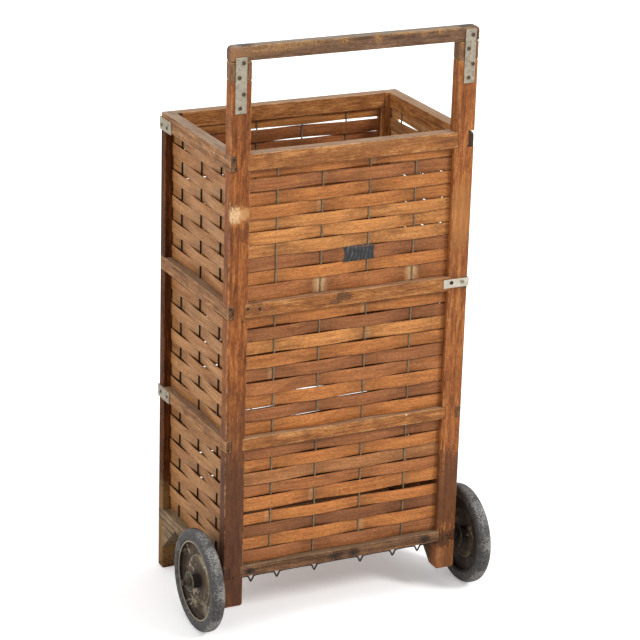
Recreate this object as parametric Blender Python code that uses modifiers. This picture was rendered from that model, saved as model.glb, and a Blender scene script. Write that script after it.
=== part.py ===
"""Rolling basket cart: four wooden posts, rails let into them on four levels, twelve panels of
wooden slats woven round steel wires, a bar handle held by two steel straps, and two rubber-tyred
wheels on a steel axle.

Metres, +Z up. The handle side faces -Y, X = 0 is the middle, and the ground is Z = 0. The cart
stands on its two wheels and on the two long posts of the leg side (+Y). Depths named in_y are
measured from the outer face of the handle-side posts, and moved to the world by FRONT_Y.
"""

import math

import bmesh
import bpy
from mathutils import Euler, Matrix, Vector

# Overall frame
FRAME_WIDTH = 0.4435
FRAME_DEPTH = 0.286
FIT = 0.0003
OVERRUN = 0.003

# Posts
POST_WIDTH = 0.0355
HANDLE_POST_THICKNESS = 0.021
LEG_POST_THICKNESS = 0.018
HANDLE_RISE = 0.1215
POST_ARRIS = 0.0012
FOOT_ROUNDING = 0.004
FOOT_STEPS = 3

# Rails: the depth of the timber at each level, and the heights of the panels between them
RIM_HEIGHT = 0.0275
UPPER_HEIGHT = 0.0240
LOWER_HEIGHT = 0.0210
BOTTOM_HEIGHT = 0.0195
TOP_PANEL_HEIGHT = 0.2264
MIDDLE_PANEL_HEIGHT = 0.2132
BASE_PANEL_HEIGHT = 0.2124
SIDE_RAIL_THICKNESS = 0.021
TONGUE_THICKNESS = 0.011
LAP_LENGTH = 0.0052
RAIL_ARRIS = 0.0010
BROKEN_END_SETBACK = 0.0065
BROKEN_END_CHAMFER = 0.0090

# Woven panels
SLAT_THICKNESS = 0.0026
SLAT_GAP = 0.0013
WIRE_RADIUS = 0.0015
WIRE_SIDES = 4
WIRE_BITE = 0.0005
GROOVE_DEPTH = 0.005
GROOVE_CLEARANCE = 0.0009
END_PANEL_SETBACK = 0.0115
SIDE_PANEL_SETBACK = 0.0155
PANEL_ROWS = {"top": 10, "middle": 9, "base": 9}
END_WIRE_SHARES = (0.146, 0.366, 0.597, 0.822)
SIDE_WIRE_SHARES = (0.195, 0.523, 0.830)

# Handle
BLOCK_HEIGHT = 0.0313
BAR_HEIGHT = 0.0247
BAR_THICKNESS = 0.020
BAR_REVEAL = 0.0005
BAR_OVERHANG = 0.0014
BAR_CORNER_RADIUS = 0.008
BAR_ARRIS = 0.003
CORNER_STEPS = 4

# Galvanised straps over the handle joints, and angle brackets round three corners
STRAP_WIDTH = 0.0198
STRAP_LENGTH = 0.0915
STRAP_THICKNESS = 0.0016
STRAP_INSET = 0.0062
STRAP_LEFT_DROP = 0.053
STRAP_RIGHT_DROP = 0.039
BRACKET_THICKNESS = 0.0016
BRACKET_LEG = 0.046
BRACKET_WIDE = 0.0215
BRACKET_NARROW = 0.0150
RIM_BRACKET_DROP = 0.0080
UPPER_BRACKET_DROP = 0.0036

# Braces under the side rails
BRACE_RUN = 0.052
BRACE_DROP = 0.050
BRACE_TOE = 0.003
BRACE_REVEAL = 0.0024

# Wheels and axle
WHEEL_RADIUS = 0.089
TYRE_WIDTH = 0.024
TYRE_DEPTH = 0.0195
TYRE_CROWN_WIDTH = 0.0040
SHOULDER_STEPS = 4
WHEEL_GAP = 0.0198
WHEEL_STEPS = 36
RIM_BAND = 0.0016
RIM_BAND_WIDTH = 0.0190
RIM_LIP = 0.0022
WEB_THICKNESS = 0.0020
WEB_INSET = 0.0012
WEB_STEP_RADIUS = 0.0425
WEB_STEP = 0.0040
HUB_RADIUS = 0.0120
HUB_OVERHANG = 0.0050
HUB_FLANGE_RADIUS = 0.0205
HUB_FLANGE_THICKNESS = 0.0025
HUB_FLANGE_INSET = 0.0137
SLEEVE_RADIUS = 0.0080
HUB_STEPS = 20
AXLE_RADIUS = 0.00475
AXLE_HEADROOM = 0.00075
AXLE_WALL = 0.0021
AXLE_END = 0.0050
AXLE_STEPS = 16
SLOT_STEPS = 8
INNER_WASHER_RADIUS = 0.0105
OUTER_WASHER_RADIUS = 0.0175
WASHER_THICKNESS = 0.0016
NUT_RADIUS = 0.0080
NUT_THICKNESS = 0.0075
NUT_SIDES = 6

# Floor
FLOOR_SLAT_GAP = 0.0019
FLOOR_SLAT_COUNT = 11
FLOOR_SLAT_THICKNESS = 0.0030
FLOOR_EDGE_BATTEN_WIDTH = 0.018
FLOOR_MIDDLE_BATTEN_WIDTH = 0.054
FLOOR_BATTEN_HEIGHT = 0.0090
FLOOR_BATTEN_SHARES = (0.0463, 0.5175, 0.9564)
FLOOR_SINK = 0.0005
LACING_RADIUS = 0.0012
LACING_IN_Y = 0.0050
LACING_DIP = 0.0130
LACING_DIP_WIDTH = 0.0140
LACING_SHARES = (0.048, 0.178, 0.369, 0.605, 0.774, 0.904)

# Heights of the rails' top edges, from the axle upwards
BOTTOM_UNDERSIDE = WHEEL_RADIUS + AXLE_RADIUS + AXLE_HEADROOM
BOTTOM_TOP = BOTTOM_UNDERSIDE + BOTTOM_HEIGHT
LOWER_TOP = BOTTOM_TOP + BASE_PANEL_HEIGHT + LOWER_HEIGHT
UPPER_TOP = LOWER_TOP + MIDDLE_PANEL_HEIGHT + UPPER_HEIGHT
RIM_BOTTOM = UPPER_TOP + TOP_PANEL_HEIGHT
RIM_TOP = RIM_BOTTOM + RIM_HEIGHT
LEVELS = {
    "rim": (RIM_TOP, RIM_HEIGHT),
    "upper": (UPPER_TOP, UPPER_HEIGHT),
    "lower": (LOWER_TOP, LOWER_HEIGHT),
    "bottom": (BOTTOM_TOP, BOTTOM_HEIGHT),
}

# Other places worked out from the sizes above
HANDLE_POST_TOP = RIM_TOP + HANDLE_RISE
HANDLE_POST_BOTTOM = BOTTOM_UNDERSIDE - BRACE_DROP - BRACE_REVEAL - FIT
BAR_BOTTOM = HANDLE_POST_TOP + BLOCK_HEIGHT
BORE_RADIUS = AXLE_RADIUS + FIT
AXLE_IN_Y = HANDLE_POST_THICKNESS + FIT + AXLE_WALL + BORE_RADIUS
GROOVE_WIDTH = SLAT_THICKNESS + 2 * GROOVE_CLEARANCE
TYRE_SHOULDER = (TYRE_WIDTH - TYRE_CROWN_WIDTH) / 2
BRACKET_STANDOFF = FIT + BRACKET_THICKNESS
FRONT_Y = -(AXLE_IN_Y - WHEEL_RADIUS + FRAME_DEPTH + BRACKET_STANDOFF) / 2
HALF_WIDTH = FRAME_WIDTH / 2
POST_CENTRE_X = HALF_WIDTH - POST_WIDTH / 2
END_CLEAR = FRAME_WIDTH - 2 * POST_WIDTH
SIDE_CLEAR = FRAME_DEPTH - HANDLE_POST_THICKNESS - LEG_POST_THICKNESS
WHEEL_CENTRE_X = HALF_WIDTH + WHEEL_GAP + TYRE_WIDTH / 2
HUB_INNER_X = HALF_WIDTH + 2 * FIT + WASHER_THICKNESS
HUB_OUTER_X = WHEEL_CENTRE_X + TYRE_WIDTH / 2 + HUB_OVERHANG

# Colours as seen, roughness and metallic value
FINISHES = {
    "post_wood": ("8C5430", 0.62, 0.0),
    "rail_wood": ("9A6238", 0.60, 0.0),
    "slat_wood": ("B0733C", 0.58, 0.0),
    "side_slat_wood": ("B08A5E", 0.62, 0.0),
    "handle_wood": ("7C5A3C", 0.50, 0.0),
    "galvanised_steel": ("B5B3A8", 0.45, 1.0),
    "worn_steel": ("6A5C48", 0.55, 0.9),
    "tyre_rubber": ("5A5A5A", 0.85, 0.0),
}


def linear_colour(code):
    """RGBA in linear light from an sRGB hex code."""
    levels = [int(code[i:i + 2], 16) / 255 for i in (0, 2, 4)]
    linear = [v / 12.92 if v <= 0.04045 else ((v + 0.055) / 1.055) ** 2.4 for v in levels]
    return (*linear, 1.0)


def make_material(name, finish):
    """A Principled material of its own for one piece."""
    code, roughness, metallic = FINISHES[finish]
    material = bpy.data.materials.new(name + "_" + finish)
    material.use_nodes = True
    shader = material.node_tree.nodes["Principled BSDF"]
    shader.inputs["Base Color"].default_value = linear_colour(code)
    shader.inputs["Roughness"].default_value = roughness
    shader.inputs["Metallic"].default_value = metallic
    return material


def make_collection(name):
    """A collection linked to the scene."""
    collection = bpy.data.collections.new(name)
    bpy.context.scene.collection.children.link(collection)
    return collection


def in_y(depth):
    """World Y of a depth measured from the outer face of the handle-side posts."""
    return FRONT_Y + depth


def box_mesh(low, high):
    """A box between two corners."""
    size = Vector(high) - Vector(low)
    centre = (Vector(high) + Vector(low)) / 2
    bm = bmesh.new()
    bmesh.ops.create_cube(bm, size=1, matrix=Matrix.Translation(centre) @ Matrix.Diagonal((*size, 1)))
    mesh = bpy.data.meshes.new("box")
    bm.to_mesh(mesh)
    bm.free()
    return mesh


def rod_mesh(radius, length, sides):
    """A round rod along Z, centred on the origin."""
    bm = bmesh.new()
    bmesh.ops.create_cone(bm, cap_ends=True, segments=sides, radius1=radius, radius2=radius, depth=length)
    mesh = bpy.data.meshes.new("rod")
    bm.to_mesh(mesh)
    bm.free()
    return mesh


def curve_mesh(curve):
    """The welded mesh of a curve, which is removed."""
    holder = bpy.data.objects.new("curve", curve)
    bpy.context.scene.collection.objects.link(holder)
    evaluated = holder.evaluated_get(bpy.context.evaluated_depsgraph_get())
    mesh = bpy.data.meshes.new_from_object(evaluated)
    bpy.data.objects.remove(holder)
    bm = bmesh.new()
    bm.from_mesh(mesh)
    bmesh.ops.remove_doubles(bm, verts=bm.verts, dist=FIT / 30)
    bm.to_mesh(mesh)
    bm.free()
    mesh.materials.clear()
    return mesh


def outline_mesh(outlines, thickness):
    """Flat outlines in XY, the later ones holes in the first, with a thickness centred on Z = 0."""
    curve = bpy.data.curves.new("outline", "CURVE")
    curve.dimensions = "2D"
    curve.fill_mode = "BOTH"
    curve.extrude = thickness / 2
    for points in outlines:
        spline = curve.splines.new("POLY")
        spline.points.add(len(points) - 1)
        for point, (x, y) in zip(spline.points, points):
            point.co = (x, y, 0, 1)
        spline.use_cyclic_u = True
    return curve_mesh(curve)


def merged_mesh(pieces):
    """One mesh of several (mesh, matrix) pairs."""
    bm = bmesh.new()
    for mesh, matrix in pieces:
        copy = mesh.copy()
        copy.transform(matrix)
        bm.from_mesh(copy)
        bpy.data.meshes.remove(copy)
    mesh = bpy.data.meshes.new("merged")
    bm.to_mesh(mesh)
    bm.free()
    return mesh


def add_part(name, mesh, finish, location=(0, 0, 0), rotation=(0, 0, 0)):
    """One piece of the cart, in its collection and with its own material."""
    mesh.name = name
    part = bpy.data.objects.new(name, mesh)
    part.location = location
    part.rotation_euler = rotation
    mesh.materials.append(make_material(name, finish))
    PARTS.objects.link(part)
    return part


def add_box(name, low, high, finish, arris=0.0):
    """A box-shaped piece with its origin at its centre and its edges eased."""
    centre = (Vector(low) + Vector(high)) / 2
    part = add_part(name, box_mesh(Vector(low) - centre, Vector(high) - centre), finish, centre)
    if arris:
        ease_edges(part, arris)
    return part


def ease_edges(part, width, segments=1):
    """Bevels the outward edges of a piece and leaves its inner corners sharp."""
    bm = bmesh.new()
    bm.from_mesh(part.data)
    bm.normal_update()
    edges = [edge for edge in bm.edges if edge.calc_face_angle_signed(0) > math.radians(40)]
    bmesh.ops.bevel(bm, geom=edges, offset=width, segments=segments, affect="EDGES", profile=0.5)
    bm.to_mesh(part.data)
    bm.free()


def combine(part, mesh, operation, label):
    """A Boolean of a piece with a guide mesh given in world coordinates."""
    guide = bpy.data.objects.new(part.name + " " + label, mesh)
    guide.hide_render = True
    guide.display_type = "WIRE"
    CUTTERS.objects.link(guide)
    boolean = part.modifiers.new(label, "BOOLEAN")
    boolean.operation = operation
    boolean.solver = "EXACT"
    boolean.object = guide


def turned(name, profile, steps, finish, location, rotation):
    """A closed section of (radius, height) points turned about its own Z axis."""
    mesh = bpy.data.meshes.new(name)
    corners = [(radius, 0, height) for radius, height in profile]
    edges = [(i, (i + 1) % len(corners)) for i in range(len(corners))]
    mesh.from_pydata(corners, edges, [])
    part = add_part(name, mesh, finish, location, rotation)
    screw = part.modifiers.new("turned", "SCREW")
    screw.axis = "Z"
    screw.steps = steps
    screw.render_steps = steps
    screw.use_merge_vertices = True
    screw.merge_threshold = FIT / 30
    screw.use_smooth_shade = True
    return part


def arc(centre, radius, start, stop, steps):
    """Points on a circular arc between two angles in degrees, both ends included."""
    angles = [math.radians(start + (stop - start) * i / steps) for i in range(steps + 1)]
    return [(centre[0] + radius * math.cos(a), centre[1] + radius * math.sin(a)) for a in angles]


def mirrored_x(side, low, high):
    """Box corners given for the +X side, turned round for the -X side."""
    if side > 0:
        return low, high
    return (-high[0], low[1], low[2]), (-low[0], high[1], high[2])


def post_joint_cutters(side, y_low, y_high):
    """Slots in a post: the side rail's tongue on the outer face, the end rail's lap on the inner."""
    pieces = []
    for top, height in LEVELS.values():
        z_low = top - height - FIT
        z_high = top + FIT
        tongue = mirrored_x(
            side,
            (HALF_WIDTH - TONGUE_THICKNESS - FIT, in_y(y_low - OVERRUN), z_low),
            (HALF_WIDTH + OVERRUN, in_y(y_high + OVERRUN), z_high),
        )
        lap = mirrored_x(
            side,
            (HALF_WIDTH - POST_WIDTH - OVERRUN, in_y(y_low - OVERRUN), z_low),
            (HALF_WIDTH - POST_WIDTH + LAP_LENGTH + FIT, in_y(y_high + OVERRUN), z_high),
        )
        pieces += [(box_mesh(*tongue), Matrix()), (box_mesh(*lap), Matrix())]
    return merged_mesh(pieces)


def post_groove_cutter(side, end_panel_y, inner_y, inward):
    """Grooves for the slat ends: one in the inner face, one in the face towards the side panel."""
    z_low = BOTTOM_TOP - OVERRUN
    z_high = RIM_BOTTOM + OVERRUN
    end_groove = mirrored_x(
        side,
        (HALF_WIDTH - POST_WIDTH - OVERRUN, in_y(end_panel_y - GROOVE_WIDTH / 2), z_low),
        (HALF_WIDTH - POST_WIDTH + GROOVE_DEPTH, in_y(end_panel_y + GROOVE_WIDTH / 2), z_high),
    )
    edges = sorted((inner_y - inward * GROOVE_DEPTH, inner_y + inward * OVERRUN))
    side_groove = mirrored_x(
        side,
        (HALF_WIDTH - SIDE_PANEL_SETBACK - GROOVE_WIDTH / 2, in_y(edges[0]), z_low),
        (HALF_WIDTH - SIDE_PANEL_SETBACK + GROOVE_WIDTH / 2, in_y(edges[1]), z_high),
    )
    return merged_mesh([(box_mesh(*end_groove), Matrix()), (box_mesh(*side_groove), Matrix())])


def build_posts():
    """Four posts: the handle side's carry the handle, the leg side's stand on the ground."""
    handle_side = (0, HANDLE_POST_THICKNESS, HANDLE_POST_BOTTOM, HANDLE_POST_TOP)
    leg_side = (FRAME_DEPTH - LEG_POST_THICKNESS, FRAME_DEPTH, 0, RIM_TOP)
    for side, side_name in ((-1, "left"), (1, "right")):
        for kind, (y_low, y_high, z_low, z_high) in (("handle", handle_side), ("leg", leg_side)):
            low, high = mirrored_x(
                side,
                (HALF_WIDTH - POST_WIDTH, in_y(y_low), z_low),
                (HALF_WIDTH, in_y(y_high), z_high),
            )
            post = add_box(f"post_{kind}_{side_name}", low, high, "post_wood")
            round_foot(post, low, high)
            ease_edges(post, POST_ARRIS)
            if kind == "handle":
                panel_y = END_PANEL_SETBACK
                inner_y = y_high
                inward = 1
            else:
                panel_y = FRAME_DEPTH - END_PANEL_SETBACK
                inner_y = y_low
                inward = -1
            combine(post, post_joint_cutters(side, y_low, y_high), "DIFFERENCE", "rail joints")
            grooves = post_groove_cutter(side, panel_y, inner_y, inward)
            combine(post, grooves, "DIFFERENCE", "slat grooves")


def round_foot(post, low, high):
    """Rounds the left and right lower edges of a post."""
    bottom = -(high[2] - low[2]) / 2
    bm = bmesh.new()
    bm.from_mesh(post.data)
    edges = [
        edge for edge in bm.edges
        if all(abs(v.co.z - bottom) < FIT for v in edge.verts)
        and abs(edge.verts[0].co.x - edge.verts[1].co.x) < FIT
    ]
    bmesh.ops.bevel(
        bm, geom=edges, offset=FOOT_ROUNDING, segments=FOOT_STEPS, affect="EDGES", profile=0.5
    )
    bm.to_mesh(post.data)
    bm.free()


def side_rail_outline(near_setback, chamfer):
    """Plan of a side rail on the +X side: full between the posts, a thin tongue over each post."""
    outer = HALF_WIDTH
    tongue = HALF_WIDTH - TONGUE_THICKNESS
    inner = HALF_WIDTH - SIDE_RAIL_THICKNESS
    near = in_y(near_setback)
    near_shoulder = in_y(HANDLE_POST_THICKNESS + FIT)
    far_shoulder = in_y(FRAME_DEPTH - LEG_POST_THICKNESS - FIT)
    far = in_y(FRAME_DEPTH)
    near_corner = [(outer, near)]
    if chamfer:
        near_corner = [(outer - chamfer / 2, near), (outer, near + chamfer)]
    return [
        (tongue, near), *near_corner, (outer, far), (tongue, far),
        (tongue, far_shoulder), (inner, far_shoulder), (inner, near_shoulder), (tongue, near_shoulder),
    ]


def build_side_rails():
    """Four side rails on each side, their end grain showing on the faces of the posts."""
    for side, side_name in ((-1, "left"), (1, "right")):
        for level, (top, height) in LEVELS.items():
            broken = side > 0 and level == "rim"
            setback = BROKEN_END_SETBACK if broken else 0
            chamfer = BROKEN_END_CHAMFER if broken else 0
            outline = [(side * x, y) for x, y in side_rail_outline(setback, chamfer)]
            mesh = outline_mesh([outline[::side]], height)
            place = (0, 0, top - height / 2)
            rail = add_part(f"rail_{side_name}_{level}", mesh, "rail_wood", place)
            ease_edges(rail, RAIL_ARRIS)


def build_end_rails():
    """Four rails on the handle side and four on the leg side, lapped into the posts."""
    half = END_CLEAR / 2 + LAP_LENGTH
    depths = {
        "handle_side": (0, HANDLE_POST_THICKNESS),
        "leg_side": (FRAME_DEPTH - LEG_POST_THICKNESS, FRAME_DEPTH),
    }
    for side_name, (y_low, y_high) in depths.items():
        for level, (top, height) in LEVELS.items():
            low = (-half, in_y(y_low), top - height)
            high = (half, in_y(y_high), top)
            add_box(f"rail_{side_name}_{level}", low, high, "rail_wood", RAIL_ARRIS)


def slat_outline(clear, wires, first_side):
    """Plan of one slat, bent to alternate sides of the wires and straight into its grooves."""
    swing = WIRE_RADIUS + SLAT_THICKNESS / 2 - WIRE_BITE
    end = clear / 2 + GROOVE_DEPTH - FIT
    line = [(-end, 0)]
    for i, u in enumerate(wires):
        line.append((u, first_side * swing * (-1) ** i))
    line.append((end, 0))
    half = SLAT_THICKNESS / 2
    return [(u, v - half) for u, v in line] + [(u, v + half) for u, v in reversed(line)]


def build_panel(name, clear, height, rows, wire_shares, first_side, finish, location, turn):
    """A panel of slats woven round upright wires; its own X runs along the slats."""
    wires = [clear * (share - 0.5) for share in wire_shares]
    pitch = height / rows
    slat_height = pitch - SLAT_GAP
    slats = [
        outline_mesh([slat_outline(clear, wires, direction)], slat_height)
        for direction in (first_side, -first_side)
    ]
    slat_places = [
        (slats[row % 2], Matrix.Translation((0, 0, height - pitch * (row + 0.5))))
        for row in range(rows)
    ]
    wire = rod_mesh(WIRE_RADIUS, height - 2 * FIT, WIRE_SIDES)
    wire_places = [(wire, Matrix.Translation((u, 0, height / 2))) for u in wires]
    panel = add_part(name, merged_mesh(slat_places), finish, location, (0, 0, turn))
    world = Matrix.LocRotScale(Vector(location), Euler((0, 0, turn)), None)
    wire_mesh = merged_mesh(wire_places)
    wire_mesh.transform(world)
    combine(panel, wire_mesh, "UNION", "wires")


def build_panels():
    """Three panels on each of the four sides."""
    stacks = {
        "top": (UPPER_TOP, TOP_PANEL_HEIGHT, 1),
        "middle": (LOWER_TOP, MIDDLE_PANEL_HEIGHT, 1),
        "base": (BOTTOM_TOP, BASE_PANEL_HEIGHT, -1),
    }
    side_middle = in_y(HANDLE_POST_THICKNESS + SIDE_CLEAR / 2)
    side_x = HALF_WIDTH - SIDE_PANEL_SETBACK
    leg_y = in_y(FRAME_DEPTH - END_PANEL_SETBACK)
    for level, (z_low, height, first) in stacks.items():
        rows = PANEL_ROWS[level]
        end_panels = (
            ("handle_side", (0, in_y(END_PANEL_SETBACK), z_low), 0),
            ("leg_side", (0, leg_y, z_low), math.pi),
        )
        side_panels = (
            ("left", (-side_x, side_middle, z_low), math.pi / 2),
            ("right", (side_x, side_middle, z_low), math.pi / 2),
        )
        for side_name, location, turn in end_panels:
            build_panel(
                f"panel_{side_name}_{level}", END_CLEAR, height, rows, END_WIRE_SHARES, first,
                "slat_wood", location, turn,
            )
        for side_name, location, turn in side_panels:
            build_panel(
                f"panel_{side_name}_{level}", SIDE_CLEAR, height, rows, SIDE_WIRE_SHARES, first,
                "side_slat_wood", location, turn,
            )


def build_handle():
    """The grip bar with rounded upper corners, on a short block over each handle post."""
    half = HALF_WIDTH + BAR_OVERHANG
    top = BAR_HEIGHT / 2
    radius = BAR_CORNER_RADIUS
    outline = [(-half, -top), (half, -top)]
    outline += arc((half - radius, top - radius), radius, 0, 90, CORNER_STEPS)
    outline += arc((radius - half, top - radius), radius, 90, 180, CORNER_STEPS)
    place = (0, in_y(BAR_REVEAL + BAR_THICKNESS / 2), BAR_BOTTOM + BAR_HEIGHT / 2)
    turn = (math.pi / 2, 0, 0)
    bar = add_part("handle_bar", outline_mesh([outline], BAR_THICKNESS), "handle_wood", place, turn)
    ease_edges(bar, BAR_ARRIS, 2)
    for side, side_name in ((-1, "left"), (1, "right")):
        low, high = mirrored_x(
            side,
            (HALF_WIDTH - POST_WIDTH, in_y(0), HANDLE_POST_TOP + FIT),
            (HALF_WIDTH, in_y(HANDLE_POST_THICKNESS), BAR_BOTTOM - FIT),
        )
        add_box(f"handle_block_{side_name}", low, high, "post_wood", POST_ARRIS)


def build_straps():
    """A flat steel strap over each joint between a handle block and its post."""
    for side, side_name, drop in ((-1, "left", STRAP_LEFT_DROP), (1, "right", STRAP_RIGHT_DROP)):
        bottom = HANDLE_POST_TOP - drop
        outer = HALF_WIDTH - STRAP_INSET
        low, high = mirrored_x(
            side,
            (outer - STRAP_WIDTH, in_y(-FIT - STRAP_THICKNESS), bottom),
            (outer, in_y(-FIT), bottom + STRAP_LENGTH),
        )
        add_box(f"handle_strap_{side_name}", low, high, "galvanised_steel", STRAP_THICKNESS / 4)


def bracket_outline(x_way, y_way):
    """Plan of an angle bracket whose inner corner is the origin; the legs run along the two ways."""
    near = FIT
    out = BRACKET_STANDOFF
    leg = BRACKET_LEG
    corners = [(-out, -out), (leg, -out), (leg, -near), (-near, -near), (-near, leg), (-out, leg)]
    return [(x_way * x, y_way * y) for x, y in corners][::x_way * y_way]


def build_brackets():
    """Three angle brackets: two on the left corner of the leg side, one on the handle side."""
    left_leg_corner = (-HALF_WIDTH, in_y(FRAME_DEPTH))
    right_handle_corner = (HALF_WIDTH, in_y(0))
    rim_top = RIM_TOP - RIM_BRACKET_DROP
    upper_top = UPPER_TOP - UPPER_BRACKET_DROP
    brackets = (
        ("corner_bracket_rim", left_leg_corner, 1, -1, rim_top, BRACKET_WIDE),
        ("corner_bracket_lower", left_leg_corner, 1, -1, LOWER_TOP, BRACKET_WIDE),
        ("corner_bracket_upper", right_handle_corner, -1, 1, upper_top, BRACKET_NARROW),
    )
    for name, corner, x_way, y_way, top, width in brackets:
        mesh = outline_mesh([bracket_outline(x_way, y_way)], width)
        add_part(name, mesh, "galvanised_steel", (*corner, top - width / 2))


def brace_outline(slotted):
    """Side view of a brace: its upright edge at X = 0, its upper edge at Y = 0."""
    toe = BRACE_TOE
    lower = [(0, -BRACE_DROP), (toe, -BRACE_DROP), (BRACE_RUN, -toe), (BRACE_RUN, 0)]
    if not slotted:
        return lower + [(0, 0)]
    axle_along = AXLE_WALL + BORE_RADIUS
    axle_down = FIT - AXLE_RADIUS - AXLE_HEADROOM
    slot = arc((axle_along, axle_down), BORE_RADIUS, 0, -180, SLOT_STEPS)
    return lower + [(slot[0][0], 0), *slot, (slot[-1][0], 0), (0, 0)]


def build_braces():
    """A triangular block under each end of the bottom side rails; two of them carry the axle."""
    top = BOTTOM_UNDERSIDE - FIT
    for side, side_name in ((-1, "left"), (1, "right")):
        axle_mesh = outline_mesh([brace_outline(True)], POST_WIDTH)
        axle_place = (side * POST_CENTRE_X, in_y(HANDLE_POST_THICKNESS + FIT), top)
        axle_turn = (math.pi / 2, 0, math.pi / 2)
        add_part(f"axle_brace_{side_name}", axle_mesh, "post_wood", axle_place, axle_turn)
        leg_mesh = outline_mesh([brace_outline(False)], POST_WIDTH)
        leg_place = (side * POST_CENTRE_X, in_y(FRAME_DEPTH - LEG_POST_THICKNESS - FIT), top)
        leg_turn = (math.pi / 2, 0, -math.pi / 2)
        add_part(f"leg_brace_{side_name}", leg_mesh, "post_wood", leg_place, leg_turn)


def build_floor():
    """Thin slats across three battens, lying between the bottom rails."""
    y_low = HANDLE_POST_THICKNESS + FIT
    y_high = FRAME_DEPTH - LEG_POST_THICKNESS - FIT
    half = HALF_WIDTH - SIDE_RAIL_THICKNESS - FIT
    z_low = BOTTOM_UNDERSIDE
    z_deck = z_low + FLOOR_BATTEN_HEIGHT
    battens = []
    widths = (FLOOR_EDGE_BATTEN_WIDTH, FLOOR_MIDDLE_BATTEN_WIDTH, FLOOR_EDGE_BATTEN_WIDTH)
    for share, batten_width in zip(FLOOR_BATTEN_SHARES, widths):
        x = END_CLEAR * (share - 0.5)
        low = (x - batten_width / 2, in_y(y_low), z_low)
        high = (x + batten_width / 2, in_y(y_high), z_deck)
        battens.append((box_mesh(low, high), Matrix()))
    pitch = (y_high - y_low) / FLOOR_SLAT_COUNT
    width = pitch - FLOOR_SLAT_GAP
    slats = []
    for i in range(FLOOR_SLAT_COUNT):
        middle = in_y(y_low + pitch * (i + 0.5))
        low = (-half, middle - width / 2, z_deck - FLOOR_SINK)
        high = (half, middle + width / 2, z_deck + FLOOR_SLAT_THICKNESS)
        slats.append((box_mesh(low, high), Matrix()))
    floor = add_part("floor", merged_mesh(battens), "side_slat_wood")
    combine(floor, merged_mesh(slats), "UNION", "floor slats")


def build_lacing():
    """A wire along the underside of the handle side's bottom rail, dipping at six places."""
    half = END_CLEAR / 2 - FIT
    level = BOTTOM_UNDERSIDE - FIT - LACING_RADIUS
    route = [(-half, level)]
    for share in LACING_SHARES:
        x = END_CLEAR * (share - 0.5)
        route += [
            (x - LACING_DIP_WIDTH / 2, level),
            (x, level - LACING_DIP + LACING_RADIUS),
            (x + LACING_DIP_WIDTH / 2, level),
        ]
    route.append((half, level))
    curve = bpy.data.curves.new("lacing", "CURVE")
    curve.dimensions = "3D"
    curve.bevel_depth = LACING_RADIUS
    curve.bevel_resolution = 1
    curve.use_fill_caps = True
    spline = curve.splines.new("POLY")
    spline.points.add(len(route) - 1)
    for point, (x, z) in zip(spline.points, route):
        point.co = (x, in_y(LACING_IN_Y), z, 1)
    add_part("floor_lacing_wire", curve_mesh(curve), "worn_steel")


def tyre_profile():
    """Section of the tyre: round shoulders outside, a flat seat on the rim band inside."""
    half = TYRE_WIDTH / 2
    crown = WHEEL_RADIUS - TYRE_SHOULDER
    seat = WHEEL_RADIUS - TYRE_DEPTH
    upper = arc((crown, half - TYRE_SHOULDER), TYRE_SHOULDER, 90, 0, SHOULDER_STEPS)
    lower = arc((crown, TYRE_SHOULDER - half), TYRE_SHOULDER, 0, -90, SHOULDER_STEPS)
    seat_half = RIM_BAND_WIDTH / 2
    return [(seat, seat_half), *upper, *lower, (seat, -seat_half)]


def disc_profile():
    """Section of the pressed disc: a rim band with two lips, and a web with one raised step."""
    seat = WHEEL_RADIUS - TYRE_DEPTH - FIT
    band = seat - RIM_BAND
    half = RIM_BAND_WIDTH / 2
    web = WEB_THICKNESS / 2
    bore = HUB_RADIUS + FIT
    slope = WEB_STEP / 2
    outer = web - WEB_INSET
    inner = -web - WEB_INSET
    outer_side = [
        (bore, outer + WEB_STEP), (WEB_STEP_RADIUS - slope, outer + WEB_STEP),
        (WEB_STEP_RADIUS + slope, outer), (band, outer), (band, half - RIM_LIP),
        (band - RIM_LIP, half), (seat, half),
    ]
    inner_side = [
        (seat, -half), (band - RIM_LIP, -half), (band, RIM_LIP - half), (band, inner),
        (WEB_STEP_RADIUS + slope, inner), (WEB_STEP_RADIUS - slope, inner + WEB_STEP),
        (bore, inner + WEB_STEP),
    ]
    return outer_side + inner_side


def hub_profile():
    """Section of the hub: a bored barrel through the web, a flange inside it, and a sleeve."""
    inner_end = HUB_INNER_X - WHEEL_CENTRE_X
    outer_end = HUB_OUTER_X - WHEEL_CENTRE_X
    flange = -HUB_FLANGE_INSET
    return [
        (BORE_RADIUS, outer_end), (HUB_RADIUS, outer_end), (HUB_RADIUS, flange + HUB_FLANGE_THICKNESS),
        (HUB_FLANGE_RADIUS, flange + HUB_FLANGE_THICKNESS), (HUB_FLANGE_RADIUS, flange),
        (SLEEVE_RADIUS, flange), (SLEEVE_RADIUS, inner_end), (BORE_RADIUS, inner_end),
    ]


def ring_mesh(radius, sides, thickness):
    """A flat ring or nut blank with the axle's bore."""
    rim = arc((0, 0), radius, 0, 360, sides)[:-1]
    bore = arc((0, 0), BORE_RADIUS, 0, 360, AXLE_STEPS)[:-1]
    return outline_mesh([rim, bore], thickness)


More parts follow.
